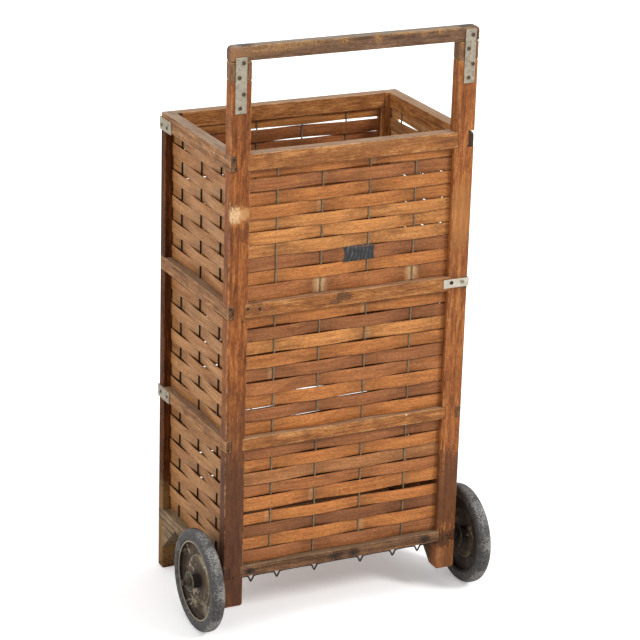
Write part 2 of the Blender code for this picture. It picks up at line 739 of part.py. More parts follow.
def build_wheels():
    """Each wheel turns about the axle; its own Z axis points outwards."""
    axle_y = in_y(AXLE_IN_Y)
    for side, side_name in ((-1, "left"), (1, "right")):
        centre = (side * WHEEL_CENTRE_X, axle_y, WHEEL_RADIUS)
        outward = (0, side * math.pi / 2, 0)
        turned(f"tyre_{side_name}", tyre_profile(), WHEEL_STEPS, "tyre_rubber", centre, outward)
        turned(f"wheel_disc_{side_name}", disc_profile(), WHEEL_STEPS, "worn_steel", centre, outward)
        turned(f"hub_{side_name}", hub_profile(), HUB_STEPS, "worn_steel", centre, outward)
        stack = HALF_WIDTH + FIT + WASHER_THICKNESS / 2
        inner = ring_mesh(INNER_WASHER_RADIUS, HUB_STEPS, WASHER_THICKNESS)
        place = (side * stack, axle_y, WHEEL_RADIUS)
        add_part(f"inner_washer_{side_name}", inner, "worn_steel", place, outward)
        stack = HUB_OUTER_X + FIT + WASHER_THICKNESS / 2
        outer = ring_mesh(OUTER_WASHER_RADIUS, HUB_STEPS, WASHER_THICKNESS)
        place = (side * stack, axle_y, WHEEL_RADIUS)
        add_part(f"outer_washer_{side_name}", outer, "worn_steel", place, outward)
        stack += WASHER_THICKNESS / 2 + FIT + NUT_THICKNESS / 2
        nut = ring_mesh(NUT_RADIUS, NUT_SIDES, NUT_THICKNESS)
        place = (side * stack, axle_y, WHEEL_RADIUS)
        add_part(f"axle_nut_{side_name}", nut, "worn_steel", place, outward)
    half_length = stack + NUT_THICKNESS / 2 + AXLE_END
    rod = rod_mesh(AXLE_RADIUS, 2 * half_length, AXLE_STEPS)
    add_part("axle", rod, "worn_steel", (0, axle_y, WHEEL_RADIUS), (0, math.pi / 2, 0))


def shade(part):
    """Smooth shading with sharp edges kept."""
    part.data.shade_smooth()
    part.data.set_sharp_from_angle(angle=math.radians(35))


for old in list(bpy.data.objects):
    bpy.data.objects.remove(old, do_unlink=True)

PARTS = make_collection("rolling_basket_cart")
CUTTERS = make_collection("cutters")

build_posts()
build_end_rails()
build_side_rails()
build_panels()
build_handle()
build_straps()
build_brackets()
build_braces()
build_floor()
build_lacing()
build_wheels()
for piece in PARTS.objects:
    shade(piece)
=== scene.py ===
"""Looks of the rolling basket cart: weave, wheels, fastenings, finishes, light and camera."""

import math
import random

import bmesh
import bpy
from mathutils import Matrix, Vector


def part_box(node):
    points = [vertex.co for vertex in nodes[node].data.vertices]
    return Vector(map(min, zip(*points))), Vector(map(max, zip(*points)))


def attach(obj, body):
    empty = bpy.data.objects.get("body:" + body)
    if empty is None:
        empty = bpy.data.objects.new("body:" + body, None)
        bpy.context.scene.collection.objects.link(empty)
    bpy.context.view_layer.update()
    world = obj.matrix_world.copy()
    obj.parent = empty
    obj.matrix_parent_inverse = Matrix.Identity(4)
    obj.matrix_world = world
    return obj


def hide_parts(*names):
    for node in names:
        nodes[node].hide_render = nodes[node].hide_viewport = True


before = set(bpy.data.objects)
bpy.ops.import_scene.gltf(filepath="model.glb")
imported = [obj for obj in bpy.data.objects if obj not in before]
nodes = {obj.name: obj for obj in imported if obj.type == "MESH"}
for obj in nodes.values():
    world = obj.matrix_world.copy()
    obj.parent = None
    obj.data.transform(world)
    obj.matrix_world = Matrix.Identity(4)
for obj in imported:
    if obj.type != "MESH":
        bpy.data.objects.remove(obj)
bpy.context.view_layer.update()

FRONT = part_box("post_handle_left")[0].y
MM = 0.001
ALONG = {"x": 0, "y": 1, "z": 2}


def middle(name, axis):
    """The middle of a node's box along x, y or z."""
    low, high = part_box(name)
    return (low[ALONG[axis]] + high[ALONG[axis]]) / 2


# ---- nodes

def linear(code):
    """An sRGB hex colour as the linear colour that shaders and lamps take."""
    channels = [int(code[i:i + 2], 16) / 255 for i in (1, 3, 5)]
    return [c / 12.92 if c <= 0.04045 else ((c + 0.055) / 1.055) ** 2.4 for c in channels] + [1]


def feed(tree, node, inputs):
    """Links or sets the inputs of a shader node."""
    for socket, value in dict(inputs).items():
        if isinstance(value, bpy.types.NodeSocket):
            tree.links.new(value, node.inputs[socket])
        else:
            node.inputs[socket].default_value = linear(value) if isinstance(value, str) else value


def add_node(tree, kind, inputs=(), stops=(), **settings):
    """Adds a shader node with its settings, then feeds it and sets the stops of its ramp."""
    made = tree.nodes.new("ShaderNode" + kind)
    for name, value in settings.items():
        setattr(made, name, value)
    feed(tree, made, inputs)
    if stops:
        elements = made.color_ramp.elements
        while len(elements) < len(stops):
            elements.new(0.5)
        for element, (position, code) in zip(elements, stops):
            element.position = position
            element.color = linear(code)
    return made


class Tree:
    """A node tree that starts empty. Each way to add a node returns the socket with its result."""

    def __init__(self, owner):
        owner.use_nodes = True
        self.tree = owner.node_tree
        self.tree.nodes.clear()

    def add(self, kind, inputs=(), out=0, **settings):
        return add_node(self.tree, kind, inputs, **settings).outputs[out]

    def math(self, operation, *values):
        return self.add("Math", enumerate(values), operation=operation)

    def vector(self, operation, *values, out=0):
        return self.add("VectorMath", enumerate(values), out, operation=operation)

    def parts(self, vector):
        """The x, y and z of a vector, or the channels of a colour."""
        return self.add("SeparateXYZ", {0: vector}).node.outputs

    def mapped(self, value, low, high, at_low, at_high):
        """A value moved from one range to another and held at its ends."""
        return self.add("MapRange", {0: value, 1: low, 2: high, 3: at_low, 4: at_high})

    def mean(self, share, first, second):
        return self.add("Mix", {0: share, 2: first, 3: second})

    def blend(self, share, colour, tone, way="MIX"):
        """A tone laid over a colour."""
        return self.add("Mix", {0: share, 6: colour, 7: tone}, 2, data_type="RGBA", blend_type=way)

    def ramp(self, value, *stops):
        return self.add("ValToRGB", {0: value}, stops=stops)

    def noise(self, place, scale, detail, roughness=0.5, distortion=0.0):
        return self.add("TexNoise", {"Vector": place, "Scale": scale, "Detail": detail,
                                     "Roughness": roughness, "Distortion": distortion})

    def grain(self, place, along, lengthwise, across, *character):
        """Noise in cells of so many mm: long along the grain, narrow across it."""
        scale = [1 / (across * MM)] * 3
        scale[ALONG[along]] = 1 / (lengthwise * MM)
        return self.noise(self.add("Mapping", {"Vector": place, "Scale": scale}), 1.0, *character)


class Finish(Tree):
    """A new material with a shader and its output."""

    def __init__(self, name):
        self.material = bpy.data.materials.new(name)
        super().__init__(self.material)
        self.shader = add_node(self.tree, "BsdfPrincipled")
        add_node(self.tree, "OutputMaterial", {"Surface": self.shader.outputs[0]})
        self.place = self.add("TexCoord", out="Object")

    def from_axle(self, centre):
        """The place measured from a wheel's centre, its x, and the distance from the axle."""
        local = self.vector("SUBTRACT", self.place, centre)
        x, y, z = self.parts(local)
        flat = self.add("CombineXYZ", {1: y, 2: z})
        return local, x, self.vector("LENGTH", flat, out="Value")

    def marked(self, colour, ragged, marks, broken=None):
        """Lays ragged marks over a colour. Each has its centre and its reach along x, y and z in mm
        (the centre's y counts from the posts' front), a tone and a share. Broken ones fade outwards
        and show only where the given value is high."""
        for centre, reach, tone, share in marks:
            spot = Vector((centre[0] * MM, FRONT + centre[1] * MM, centre[2] * MM))
            away = self.vector("SUBTRACT", self.place, spot)
            scaled = self.vector("MULTIPLY", away, [1 / (r * MM) for r in reach])
            distance = self.vector("LENGTH", scaled, out="Value")
            uneven = self.math("MULTIPLY_ADD", ragged, 4.0, distance)
            if broken is None:
                inside = self.mapped(uneven, 2.7, 3.1, share, 0.0)
            else:
                inside = self.math("MULTIPLY", self.mapped(uneven, 2.3, 3.4, share, 0.0), broken)
            colour = self.blend(inside, colour, tone)
        return colour

    def complete(self, colour, roughness, height, strength, depth, more=()):
        """Feeds the shader its colour, roughness, relief (depth in mm) and what else it needs."""
        relief = self.add("Bump", {"Strength": strength, "Distance": depth * MM, "Height": height})
        feed(self.tree, self.shader,
             {"Base Color": colour, "Roughness": roughness, "Normal": relief, **dict(more)})
        return self.material


# ---- light, floor and camera

def light_the_world():
    """Even soft light from all round, and plain white where camera, gloss or glass look past."""
    world = bpy.data.worlds.new("studio")
    bpy.context.scene.world = world
    sky = Tree(world)
    ray = sky.add("LightPath").node.outputs
    past = sky.math("MAXIMUM", ray["Is Glossy Ray"], ray["Is Transmission Ray"])
    seen = sky.math("MAXIMUM", ray["Is Camera Ray"], past)
    fill = sky.add("Background", {"Color": "#FFFFFF", "Strength": 0.50})
    white = sky.add("Background", {"Color": "#FFFFFF", "Strength": 1.0})
    mixed = sky.add("MixShader", {0: seen, 1: fill, 2: white})
    add_node(sky.tree, "OutputWorld", {"Surface": mixed})


def add_sun(name, towards, strength, spread):
    """A soft sun that shines from a point in the direction of the object."""
    turn = Vector(towards).to_track_quat("Z", "Y").to_euler()
    bpy.ops.object.light_add(type="SUN", location=towards, rotation=turn)
    lamp = bpy.context.object
    lamp.name = name
    lamp.data.energy = strength
    lamp.data.angle = math.radians(spread)


def lay_floor():
    """A pale floor that the camera sees as white, darker only where the cart shades it."""
    bpy.ops.object.select_all(action="DESELECT")
    bpy.ops.mesh.primitive_plane_add(size=60)
    floor = bpy.context.object
    floor.name = "studio_floor"
    finish = bpy.data.materials.new("pale_studio_floor")
    pale = Tree(finish)
    paper = pale.add("BsdfDiffuse", {"Color": "#E4E2DE"})
    shown = pale.add("BsdfDiffuse", {"Color": "#FFFFFF"})
    glow = pale.add("Emission", {"Color": "#FFFFFF", "Strength": 0.25})
    lit = pale.add("AddShader", {0: shown, 1: glow})
    mixed = pale.add("MixShader", {0: pale.add("LightPath", out="Is Camera Ray"), 1: paper, 2: lit})
    add_node(pale.tree, "OutputMaterial", {"Surface": mixed})
    floor.data.materials.append(finish)


def set_camera():
    """A long lens from high on the front left, as in the photograph."""
    turn, down, roll = math.radians(26.3753), math.radians(19.9168), math.radians(1.6919)
    level_reach = math.cos(down)
    ahead = Vector((math.sin(turn) * level_reach, math.cos(turn) * level_reach, -math.sin(down)))
    level = Vector((math.cos(turn), -math.sin(turn), 0))
    upright = level.cross(ahead)
    right = math.cos(roll) * level + math.sin(roll) * upright
    up = math.cos(roll) * upright - math.sin(roll) * level
    bpy.ops.object.camera_add()
    camera = bpy.context.object
    camera.name = "camera"
    camera.matrix_world = Matrix.Translation((-1.8381, -3.710575, 1.9948)) @ Matrix(
        (right, up, -ahead)).transposed().to_4x4()
    camera.data.lens = 145.17
    camera.data.sensor_width = 36
    bpy.context.scene.camera = camera


# ---- finishes

def aged_wood(name, along, node, tones, worn="#C79A66", wear=1.6, dust="#94806A", dusty=0.55,
              end="#3E291B", sawn_dark=0.8, foot=0.0, dark_below=0.26, marks=(), scuffs=(), gloss=0.25,
              seed=0.0):
    """Old oiled ash: warm bands of grain with dark pores, arrises rubbed pale, grey dust on top
    faces, open end grain, a tone that darkens towards the foot, and marks that belong to one part."""
    wood = Finish(name)
    low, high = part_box(node)
    shift = (seed * 1.7, seed * 0.9, seed * 1.3)
    moved = wood.add("Mapping", {"Vector": wood.place, "Location": shift})
    # growth rings cut lengthwise, about 6 mm apart and some 180 mm long
    bands = wood.grain(moved, along, 180, 6, 4.0, 0.62, 0.5)
    # fibres are near 0.3 mm wide, drawn at 1.6 mm so that they show
    fibres = wood.grain(moved, along, 26, 1.6, 4.0, 0.7)
    mixed = wood.mean(0.5, bands, fibres)
    # handled wood is uneven in tone, in patches some 40 mm long and 9 mm wide
    mottle = wood.grain(moved, along, 40, 9, 7.0, 0.72)
    uneven_tone = wood.mean(0.4, mixed, mottle)
    colour = wood.ramp(uneven_tone, (0.40, tones[0]), (0.50, tones[1]), (0.60, tones[2]))
    # open pores and specks of dirt, 2 to 5 mm long
    pores = wood.grain(moved, along, 5, 2.2, 3.0, 0.65)
    colour = wood.blend(1.0, colour, wood.mapped(pores, 0.35, 0.65, 0.72, 1.22), "MULTIPLY")
    # old stains, 20 to 60 mm across
    blots = wood.noise(moved, 22.0, 5.0, 0.65)
    colour = wood.blend(wood.mapped(blots, 0.48, 0.68, 0.0, 0.55), colour, tones[0])
    # darker towards the foot
    rising = wood.math("MULTIPLY_ADD", blots, -0.10, wood.parts(wood.place)[2])
    colour = wood.blend(wood.mapped(rising, dark_below, dark_below - 0.15, 0.0, foot), colour, "#3E261B")
    # distance to the nearest arris: the middle one of the distances to the three pairs of faces
    nearest = wood.vector("MINIMUM", wood.vector("SUBTRACT", wood.place, low),
                          wood.vector("SUBTRACT", high, wood.place))
    x, y, z = wood.parts(nearest)
    inner = wood.math("MINIMUM", wood.math("MAXIMUM", x, y), z)
    arris = wood.math("MAXIMUM", wood.math("MINIMUM", x, y), inner)
    uneven = wood.math("MULTIPLY_ADD", wood.noise(moved, 60.0, 5.0, 0.75), -7.0 * wear * MM, arris)
    rubbed = wood.mapped(uneven, -3.7 * wear * MM, -2.3 * wear * MM, 0.65, 0.0)
    ways = wood.parts(wood.add("NewGeometry", out="True Normal"))
    lengthwise = wood.mapped(wood.math("ABSOLUTE", ways[ALONG[along]]), 0.8, 0.95, 1.0, 0.0)
    colour = wood.blend(wood.math("MULTIPLY", rubbed, lengthwise), colour, worn)
    # faces that look up are dry and grey, faces across the grain are open and dark
    patchy = wood.mapped(uneven_tone, 0.40, 0.55, 0.35, 1.0)
    upward = wood.mapped(ways[2], 0.45, 0.9, 0.0, dusty)
    colour = wood.blend(wood.math("MULTIPLY", upward, patchy), colour, dust)
    sawn = wood.mapped(mottle, 0.62, 0.4, 0.45 * sawn_dark, sawn_dark)
    open_end = wood.math("MULTIPLY_ADD", lengthwise, -1.0, 1.0)
    colour = wood.blend(wood.math("MULTIPLY", sawn, open_end), colour, end)
    ragged = wood.mean(0.55, uneven_tone, pores)
    colour = wood.marked(colour, ragged, marks)
    if scuffs:
        # scuffed spots show bare wood only on the high grain, in specks 1 to 3 mm across
        broken = wood.mapped(wood.noise(moved, 260.0, 4.0, 0.8), 0.42, 0.56, 0.0, 1.0)
        colour = wood.marked(colour, ragged, scuffs, broken)
    # a few flecks of cream paint, 2 mm across
    flecks = wood.add("TexVoronoi", {"Vector": moved, "Scale": 26.0}, "Distance")
    tiny = wood.mapped(flecks, 0.035, 0.05, 0.8, 0.0)
    rare = wood.math("GREATER_THAN", wood.parts(flecks.node.outputs["Color"])[0], 0.85)
    colour = wood.blend(wood.math("MULTIPLY", tiny, rare), colour, "#E8D8BC")
    return wood.complete(colour, wood.mapped(mixed, 0.35, 0.65, 0.7, 0.45),
                         wood.math("MULTIPLY_ADD", mottle, 0.7, fibres), 0.6, 0.7,
                         {"Specular IOR Level": gloss})


def split_ash():
    """Split ash slats under old varnish: honey to umber from slat to slat, with painted highlight
    where a slat stands out and painted shade where it dips, fine long grain, darker blotches, dirt
    and painted shade along the edges and ends, and pale strips beside the wires, of wear and
    painted highlight."""
    ash = Finish("varnished_split_ash")
    tint, place, rim, rub_and_highlight = (ash.add("Attribute", out=out, attribute_name=name) for name, out in (
        ("slat_tint_and_shade", "Color"), ("slat_grain", "Vector"), ("slat_rim_dirt_and_shade", "Fac"), ("slat_rub_and_highlight", "Fac")))
    # broad figure, 5 mm across and 110 mm long, and fibres
    fibres = ash.grain(place, "x", 9, 2.2, 4.0, 0.75)
    mixed = ash.mean(0.5, ash.grain(place, "x", 110, 5, 5.0, 0.65, 0.4), fibres)
    shade = ash.ramp(mixed, (0.36, "#A58A70"), (0.5, "#E6D8C6"), (0.62, "#FFFCF6"))
    # the tint carries each slat's painted highlight and shade along its swing
    colour = ash.blend(1.0, tint, shade, "MULTIPLY")
    # open pores and specks of dirt, 2 to 4 mm long
    pores = ash.grain(place, "x", 5, 2.4, 3.0, 0.65)
    colour = ash.blend(1.0, colour, ash.mapped(pores, 0.35, 0.65, 0.74, 1.22), "MULTIPLY")
    # weathered blotches some 50 mm long
    blots = ash.grain(place, "x", 60, 22, 5.0, 0.65)
    colour = ash.blend(ash.mapped(blots, 0.52, 0.74, 0.0, 0.6), colour, "#6E4324")
    # dirt and painted shade along the slat's edges and at its ends
    dirt_and_shade = ash.mapped(ash.math("MULTIPLY", rim, fibres), 0.15, 0.5, 0.0, 0.72)
    colour = ash.blend(dirt_and_shade, colour, "#4A2C18")
    # pale strips beside the wires: rubbing wear and painted highlight where the slat bends round
    # them
    ragged = ash.math("MULTIPLY", rub_and_highlight, ash.noise(place, 190.0, 4.0, 0.7))
    colour = ash.blend(ash.mapped(ragged, 0.06, 0.6, 0.0, 0.75), colour, "#EFC794")
    return ash.complete(colour, ash.mapped(blots, 0.35, 0.65, 0.42, 0.62), mixed, 0.45, 0.4,
                        {"Specular IOR Level": 0.3})


def weathered_metal(name, clean, dull, rust, rusty, rough, cell):
    """Old zinc or steel: a grey coat with soft spangles, chalky patches and rust through it."""
    metal = Finish(name)
    spangle = metal.add("TexVoronoi", {"Vector": metal.place, "Scale": 1 / (cell * MM)}, "Color")
    chalk = metal.noise(metal.place, 160.0, 5.0, 0.65)
    tone = metal.math("MULTIPLY_ADD", metal.parts(spangle)[0], 0.35, chalk)
    eaten = metal.noise(metal.place, 95.0, 6.0, 0.7)
    through = metal.mapped(eaten, 0.62 - 0.3 * rusty, 0.78 - 0.3 * rusty, 0.0, 0.9)
    colour = metal.blend(through, metal.ramp(tone, (0.35, dull), (0.85, clean)), rust)
    roughness = metal.mapped(chalk, 0.3, 0.7, rough, rough + 0.22)
    return metal.complete(colour, roughness, eaten, 0.4, 0.25,
                          {"Metallic": metal.mapped(through, 0.0, 0.9, 0.75, 0.1)})


def wheel_steel(name, centre, reach, flaked, zones, inside=None, lip=None, dusty=()):
    """Pressed or turned wheel steel: tones in rings from the axle out, rust blooms and chalky
    flakes of old paint, worn bright on its lip. The side towards the basket is painted near black,
    as shade."""
    steel = Finish(name)
    local, x, radius = steel.from_axle(centre)
    eaten = steel.noise(local, 70.0, 6.0, 0.7)
    share = steel.math("MULTIPLY", radius, 1 / (reach * MM))
    rings = steel.math("MULTIPLY_ADD", eaten, 0.05, share)
    rust = steel.mapped(eaten, 0.45, 0.62, 0.0, 0.7)
    colour = steel.blend(rust, steel.ramp(rings, *zones), "#33231A")
    chalk = steel.noise(local, 48.0, 6.0, 0.72, 0.4)
    bloom = steel.mapped(chalk, 0.56, 0.61, 0.0, flaked)
    colour = steel.blend(bloom, colour, "#ADA088")
    depth, height = (centre.y - FRONT) / MM, centre.z / MM
    colour = steel.marked(colour, chalk, [
        ((centre.x / MM, depth + y, height + z), (200, *spread), "#A3967D", 0.45)
        for y, z, spread in dusty])
    side = steel.math("MULTIPLY", x, math.copysign(1, centre.x))
    if lip:
        bright = steel.mapped(side, lip - 0.6 * MM, lip, 0.0, 0.75)
        # painted shade: the side towards the basket, behind the inside mark, is darkened to near
        # black
        grime_and_shade = steel.mapped(side, inside, inside - 0.5 * MM, 0.0, 0.85)
        colour = steel.blend(grime_and_shade, steel.blend(bright, colour, "#A89B86"), "#1E1712")
    relief = steel.math("MULTIPLY_ADD", bloom, 0.5, eaten)
    return steel.complete(colour, steel.mapped(eaten, 0.35, 0.65, 0.45, 0.75), relief, 0.5, 0.5,
                          {"Metallic": 0.2})


def cracked_rubber(name, centre):
    """Perished solid rubber: smooth, faintly shiny charcoal walls and a chalky, flaking tread."""
    rubber = Finish(name)
    local, _, radius = rubber.from_axle(centre)
    tread = rubber.mapped(radius, 0.0805, 0.0875, 0.0, 1.0)
    grime_and_shade = rubber.noise(local, 160.0, 6.0, 0.7)
    wall = rubber.ramp(grime_and_shade, (0.38, "#1F1E1D"), (0.5, "#353433"), (0.64, "#504E4C"))
    # flakes of 2 to 4 mm, thick in some stretches and missing in others
    flakes = rubber.noise(local, 420.0, 5.0, 0.75, 0.5)
    thick = rubber.math("MULTIPLY_ADD", rubber.noise(local, 22.0, 3.0), 0.7, flakes)
    flaked = rubber.mapped(rubber.math("MULTIPLY_ADD", tread, 0.13, thick), 0.97, 1.05, 0.0, 0.7)
    colour = rubber.blend(flaked, wall, "#A5A19D")
    # cracks, 5 to 10 mm apart
    cracks = rubber.add("TexVoronoi", {"Vector": local, "Scale": 120.0}, feature="DISTANCE_TO_EDGE")
    split = rubber.math("MULTIPLY", rubber.mapped(cracks, 0.0, 0.05, 0.55, 0.0), tread)
    colour = rubber.blend(split, colour, "#24211F")
    return rubber.complete(colour, rubber.mapped(flaked, 0.0, 0.7, 0.55, 0.9),
                           rubber.math("MULTIPLY_ADD", flaked, 0.7, grime_and_shade), 0.8, 0.9, {"IOR": 1.52})


def friction_tape():
    """Black cloth tape: a dull cotton weave pressed over the slat, its ridges painted paler as a
    sheen.
    """
    tape = Finish("black_cloth_tape")
    # threads are 0.4 mm apart, drawn at 1.4 mm so that they show
    threads = tape.add("TexWave", {"Vector": tape.place, "Scale": 45.0, "Distortion": 6.0,
                                   "Detail": 2.0}, "Fac", bands_direction="X")
    blend = tape.mean(0.72, threads, tape.noise(tape.place, 140.0, 4.0))
    # the pale blue-grey top of the ramp is a painted sheen on the ridges of the threads
    colour = tape.ramp(blend, (0.35, "#1E1F21"), (0.6, "#303134"), (0.8, "#57565A"))
    return tape.complete(colour, 0.7, blend, 0.5, 0.3)


# ---- modelling

def clear_selection():
    """Leaves edit mode if need be and deselects every object."""
    if bpy.context.mode != "OBJECT":
        bpy.ops.object.mode_set(mode="OBJECT")
    bpy.ops.object.select_all(action="DESELECT")


def select_only(*pieces):
    """Selects some objects and makes the first of them the active one."""
    clear_selection()
    for piece in pieces:
        piece.select_set(True)
    bpy.context.view_layer.objects.active = pieces[0]


def begin(name, primitive, **settings):
    """Adds a primitive on its own, names it and moves its place, turn and size into the mesh."""
    clear_selection()
    primitive(**settings)
    piece = bpy.context.object
    piece.name = piece.data.name = name
    bpy.ops.object.transform_apply(location=True, rotation=True, scale=True)
    bpy.ops.object.mode_set(mode="EDIT")
    return piece


def pick(piece, kind, wanted):
    """Selects those verts, edges or faces of the piece in edit mode that are wanted."""
    bpy.ops.mesh.select_mode(type={"verts": "VERT", "edges": "EDGE", "faces": "FACE"}[kind])
    bpy.ops.mesh.select_all(action="DESELECT")
    mesh = bmesh.from_edit_mesh(piece.data)
    for element in getattr(mesh, kind):
        if wanted(element):
            element.select_set(True)
    mesh.select_flush_mode()
    bmesh.update_edit_mesh(piece.data)


def pull(reach, *way):
    """Moves what is selected, and less and less of what lies within reach of it."""
    bpy.ops.transform.translate(value=way, use_proportional_edit=True,
                                proportional_edit_falloff="SMOOTH", proportional_size=reach)


def runs_along(edge, axis):
    """Whether an edge lies along x, y or z."""
    way = (edge.verts[0].co - edge.verts[1].co).normalized()
    return abs(way[ALONG[axis]]) > 0.99


def face_out(piece):
    """Turns all faces of the piece in edit mode outwards and ends its modelling."""
    bpy.ops.mesh.select_all(action="SELECT")
    bpy.ops.mesh.normals_make_consistent(inside=False)
    bpy.ops.object.mode_set(mode="OBJECT")
    return piece


def smooth(piece, angle):
    """Ends the modelling of a piece and shades it smooth below an angle."""
    select_only(piece)
    bpy.ops.object.shade_smooth_by_angle(angle=math.radians(angle))
    return piece


def copied(piece, name, place):
    """A copy with its own mesh, put in place by a matrix."""
    twin = piece.copy()
    twin.data = piece.data.copy()
    twin.name = twin.data.name = name
    twin.data.transform(place)
    bpy.context.scene.collection.objects.link(twin)
    return twin


def joined(pieces, name):
    """Several pieces as one object."""
    select_only(*pieces)
    if len(pieces) > 1:
        bpy.ops.object.join()
    pieces[0].name = pieces[0].data.name = name
    return pieces[0]


def finished(piece, material, slot, *replaced, body="frame"):
    """Gives a piece its finish and its body, and hides the nodes that it stands for. The slot is
    not used.
    """
    piece.data.materials.clear()
    piece.data.materials.append(material)
    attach(piece, body)
    if replaced:
        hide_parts(*replaced)


# ---- woven panels

SLAT_THICKNESS = 1.8 * MM
SLAT_HEIGHT = 22 * MM
WIRE_RADIUS = 1.35 * MM
SHADED_WIRE_RADIUS = 1.6 * MM
END_SWING = 2.1 * MM
SIDE_SWING = 1.9 * MM

END_WIRES = (-0.132, -0.050, 0.036, 0.121)
SIDE_WIRES = (-0.0447, 0.0353, 0.1163)

# heights of the slats' edges, from the top of each field to its foot
END_ROWS = {
    "top": (0.8107, 0.7952, 0.7712, 0.7470, 0.7242, 0.7030, 0.6806, 0.6574, 0.6340, 0.6118, 0.5850),
    "middle": (0.5603, 0.5374, 0.5140, 0.4902, 0.4650, 0.4420, 0.4180, 0.3942, 0.3720, 0.3478),
    "base": (0.3261, 0.3030, 0.2800, 0.2565, 0.2345, 0.2095, 0.1830, 0.1612, 0.1380, 0.1144),
}
LEG_ROWS = {
    **END_ROWS,
    "top": (0.8107, 0.7952, 0.7712, 0.7450, 0.7200, 0.6960, 0.6715, 0.6475, 0.6255, 0.6045, 0.5850),
}
SIDE_ROWS = {
    "top": (0.8107, 0.7885, 0.7650, 0.7415, 0.7190, 0.6960, 0.6735, 0.6520, 0.6290, 0.6075, 0.5850),
    "middle": (0.5603, 0.5490, 0.5265, 0.5025, 0.4790, 0.4555, 0.4340, 0.4115, 0.3900, 0.3680,
               0.3478),
    "base": (0.3261, 0.3175, 0.2955, 0.2725, 0.2500, 0.2275, 0.2045, 0.1825, 0.1600, 0.1385,
             0.1144),
}
# gaps in mm over some slats, at their two ends; slats count from the top one
GAPS = {
    "panel_handle_side_top": {1: (1.6, 3.0), 2: (2.8, 0.8)},
    "panel_handle_side_middle": {1: (0.6, 2.0), 3: (1.4, 1.2), 5: (1.0, 1.0), 7: (0.3, 0.2),
                                 8: (1.1, 0.4)},
    "panel_handle_side_base": {1: (0.8, 0.4), 3: (0.8, 0.4), 5: (4.8, 7.0)},
    "panel_leg_side_top": {1: (4.4, 0.4), 2: (3.6, -0.6), 4: (0.0, 2.0)},
    "panel_leg_side_base": {1: (0.6, 0.6), 2: (1.3, 1.3), 3: (1.7, 1.7)},
    "panel_right_top": {1: (1.6, 2.4)},
    "panel_right_base": {8: (-2.0, -2.0)},
}
# how far the other gaps have opened, 1 if not named; below 0 the slats' edges overlap
OPENED = {"panel_leg_side_top": -1.0, "panel_right_top": 0.25, "panel_right_middle": -2.0,
          "panel_right_base": -2.0}

# how strongly slats are painted pale beside a wire, as rubbing wear and painted highlight, how far
# off, and how wide
PALE_RUBS_AND_HIGHLIGHTS = ((0.0, 0.1, 0.15, 0.2, 0.2, 0.5), 5 * MM, 8 * MM)
# the slat of one panel that is rubbed hard, its pale strips of wear and painted highlight at their
# strongest
RUBBED_AND_HIGHLIT_SLAT = ("panel_handle_side_top", 9)
HARD_RUB_AND_HIGHLIGHT = ((1.0,), 1 * MM, 17 * MM)
# the slat of the same panel that misses its turn round the first wire
SLACK_SLAT = ("panel_handle_side_top", 7)

# tones of the slats
TONES = {"straw": "#F4BA80", "honey": "#EDA965", "amber": "#DF9553", "tan": "#D0935F",
         "sand": "#D2A06C", "dun": "#CA9560", "chestnut": "#C88551", "brown": "#B6784B",
         "umber": "#9C653F"}
HANDLE_TONES = {
    "top": "amber chestnut amber amber honey honey honey brown amber chestnut",
    "middle": "amber brown honey amber brown chestnut amber brown amber",
    "base": "brown amber tan chestnut amber amber umber amber brown",
}
LEG_TONES = {**HANDLE_TONES,
             "top": "honey brown brown chestnut amber brown honey brown amber chestnut"}
LEFT_TONES = dict.fromkeys(END_ROWS, "sand dun sand sand dun sand dun sand sand dun")
RIGHT_TONES = dict.fromkeys(END_ROWS, "straw sand straw straw sand straw sand straw straw sand")


def model_slat(name, length, wires, swings):
    """A slat along x that swings in and out round its wires, its long arrises eased."""
    slat = begin(name, bpy.ops.mesh.primitive_cube_add, size=1,
                 scale=(length, SLAT_THICKNESS, SLAT_HEIGHT))
    pick(slat, "edges", lambda e: runs_along(e, "x"))
    bpy.ops.mesh.bevel(offset=0.6 * MM, segments=2, affect="EDGES")
    pick(slat, "edges", lambda e: runs_along(e, "x"))
    cuts = round(length / (6.5 * MM))
    bpy.ops.mesh.subdivide(number_cuts=cuts)
    half_step = length / (cuts + 1) / 2
    reach = sum(b - a for a, b in zip(wires, wires[1:])) / (len(wires) - 1)
    for x, swing in zip(wires, swings):
        pick(slat, "verts", lambda v: abs(v.co.x - x) <= half_step)
        pull(reach, 0, swing, 0)
    return smooth(slat, 50)


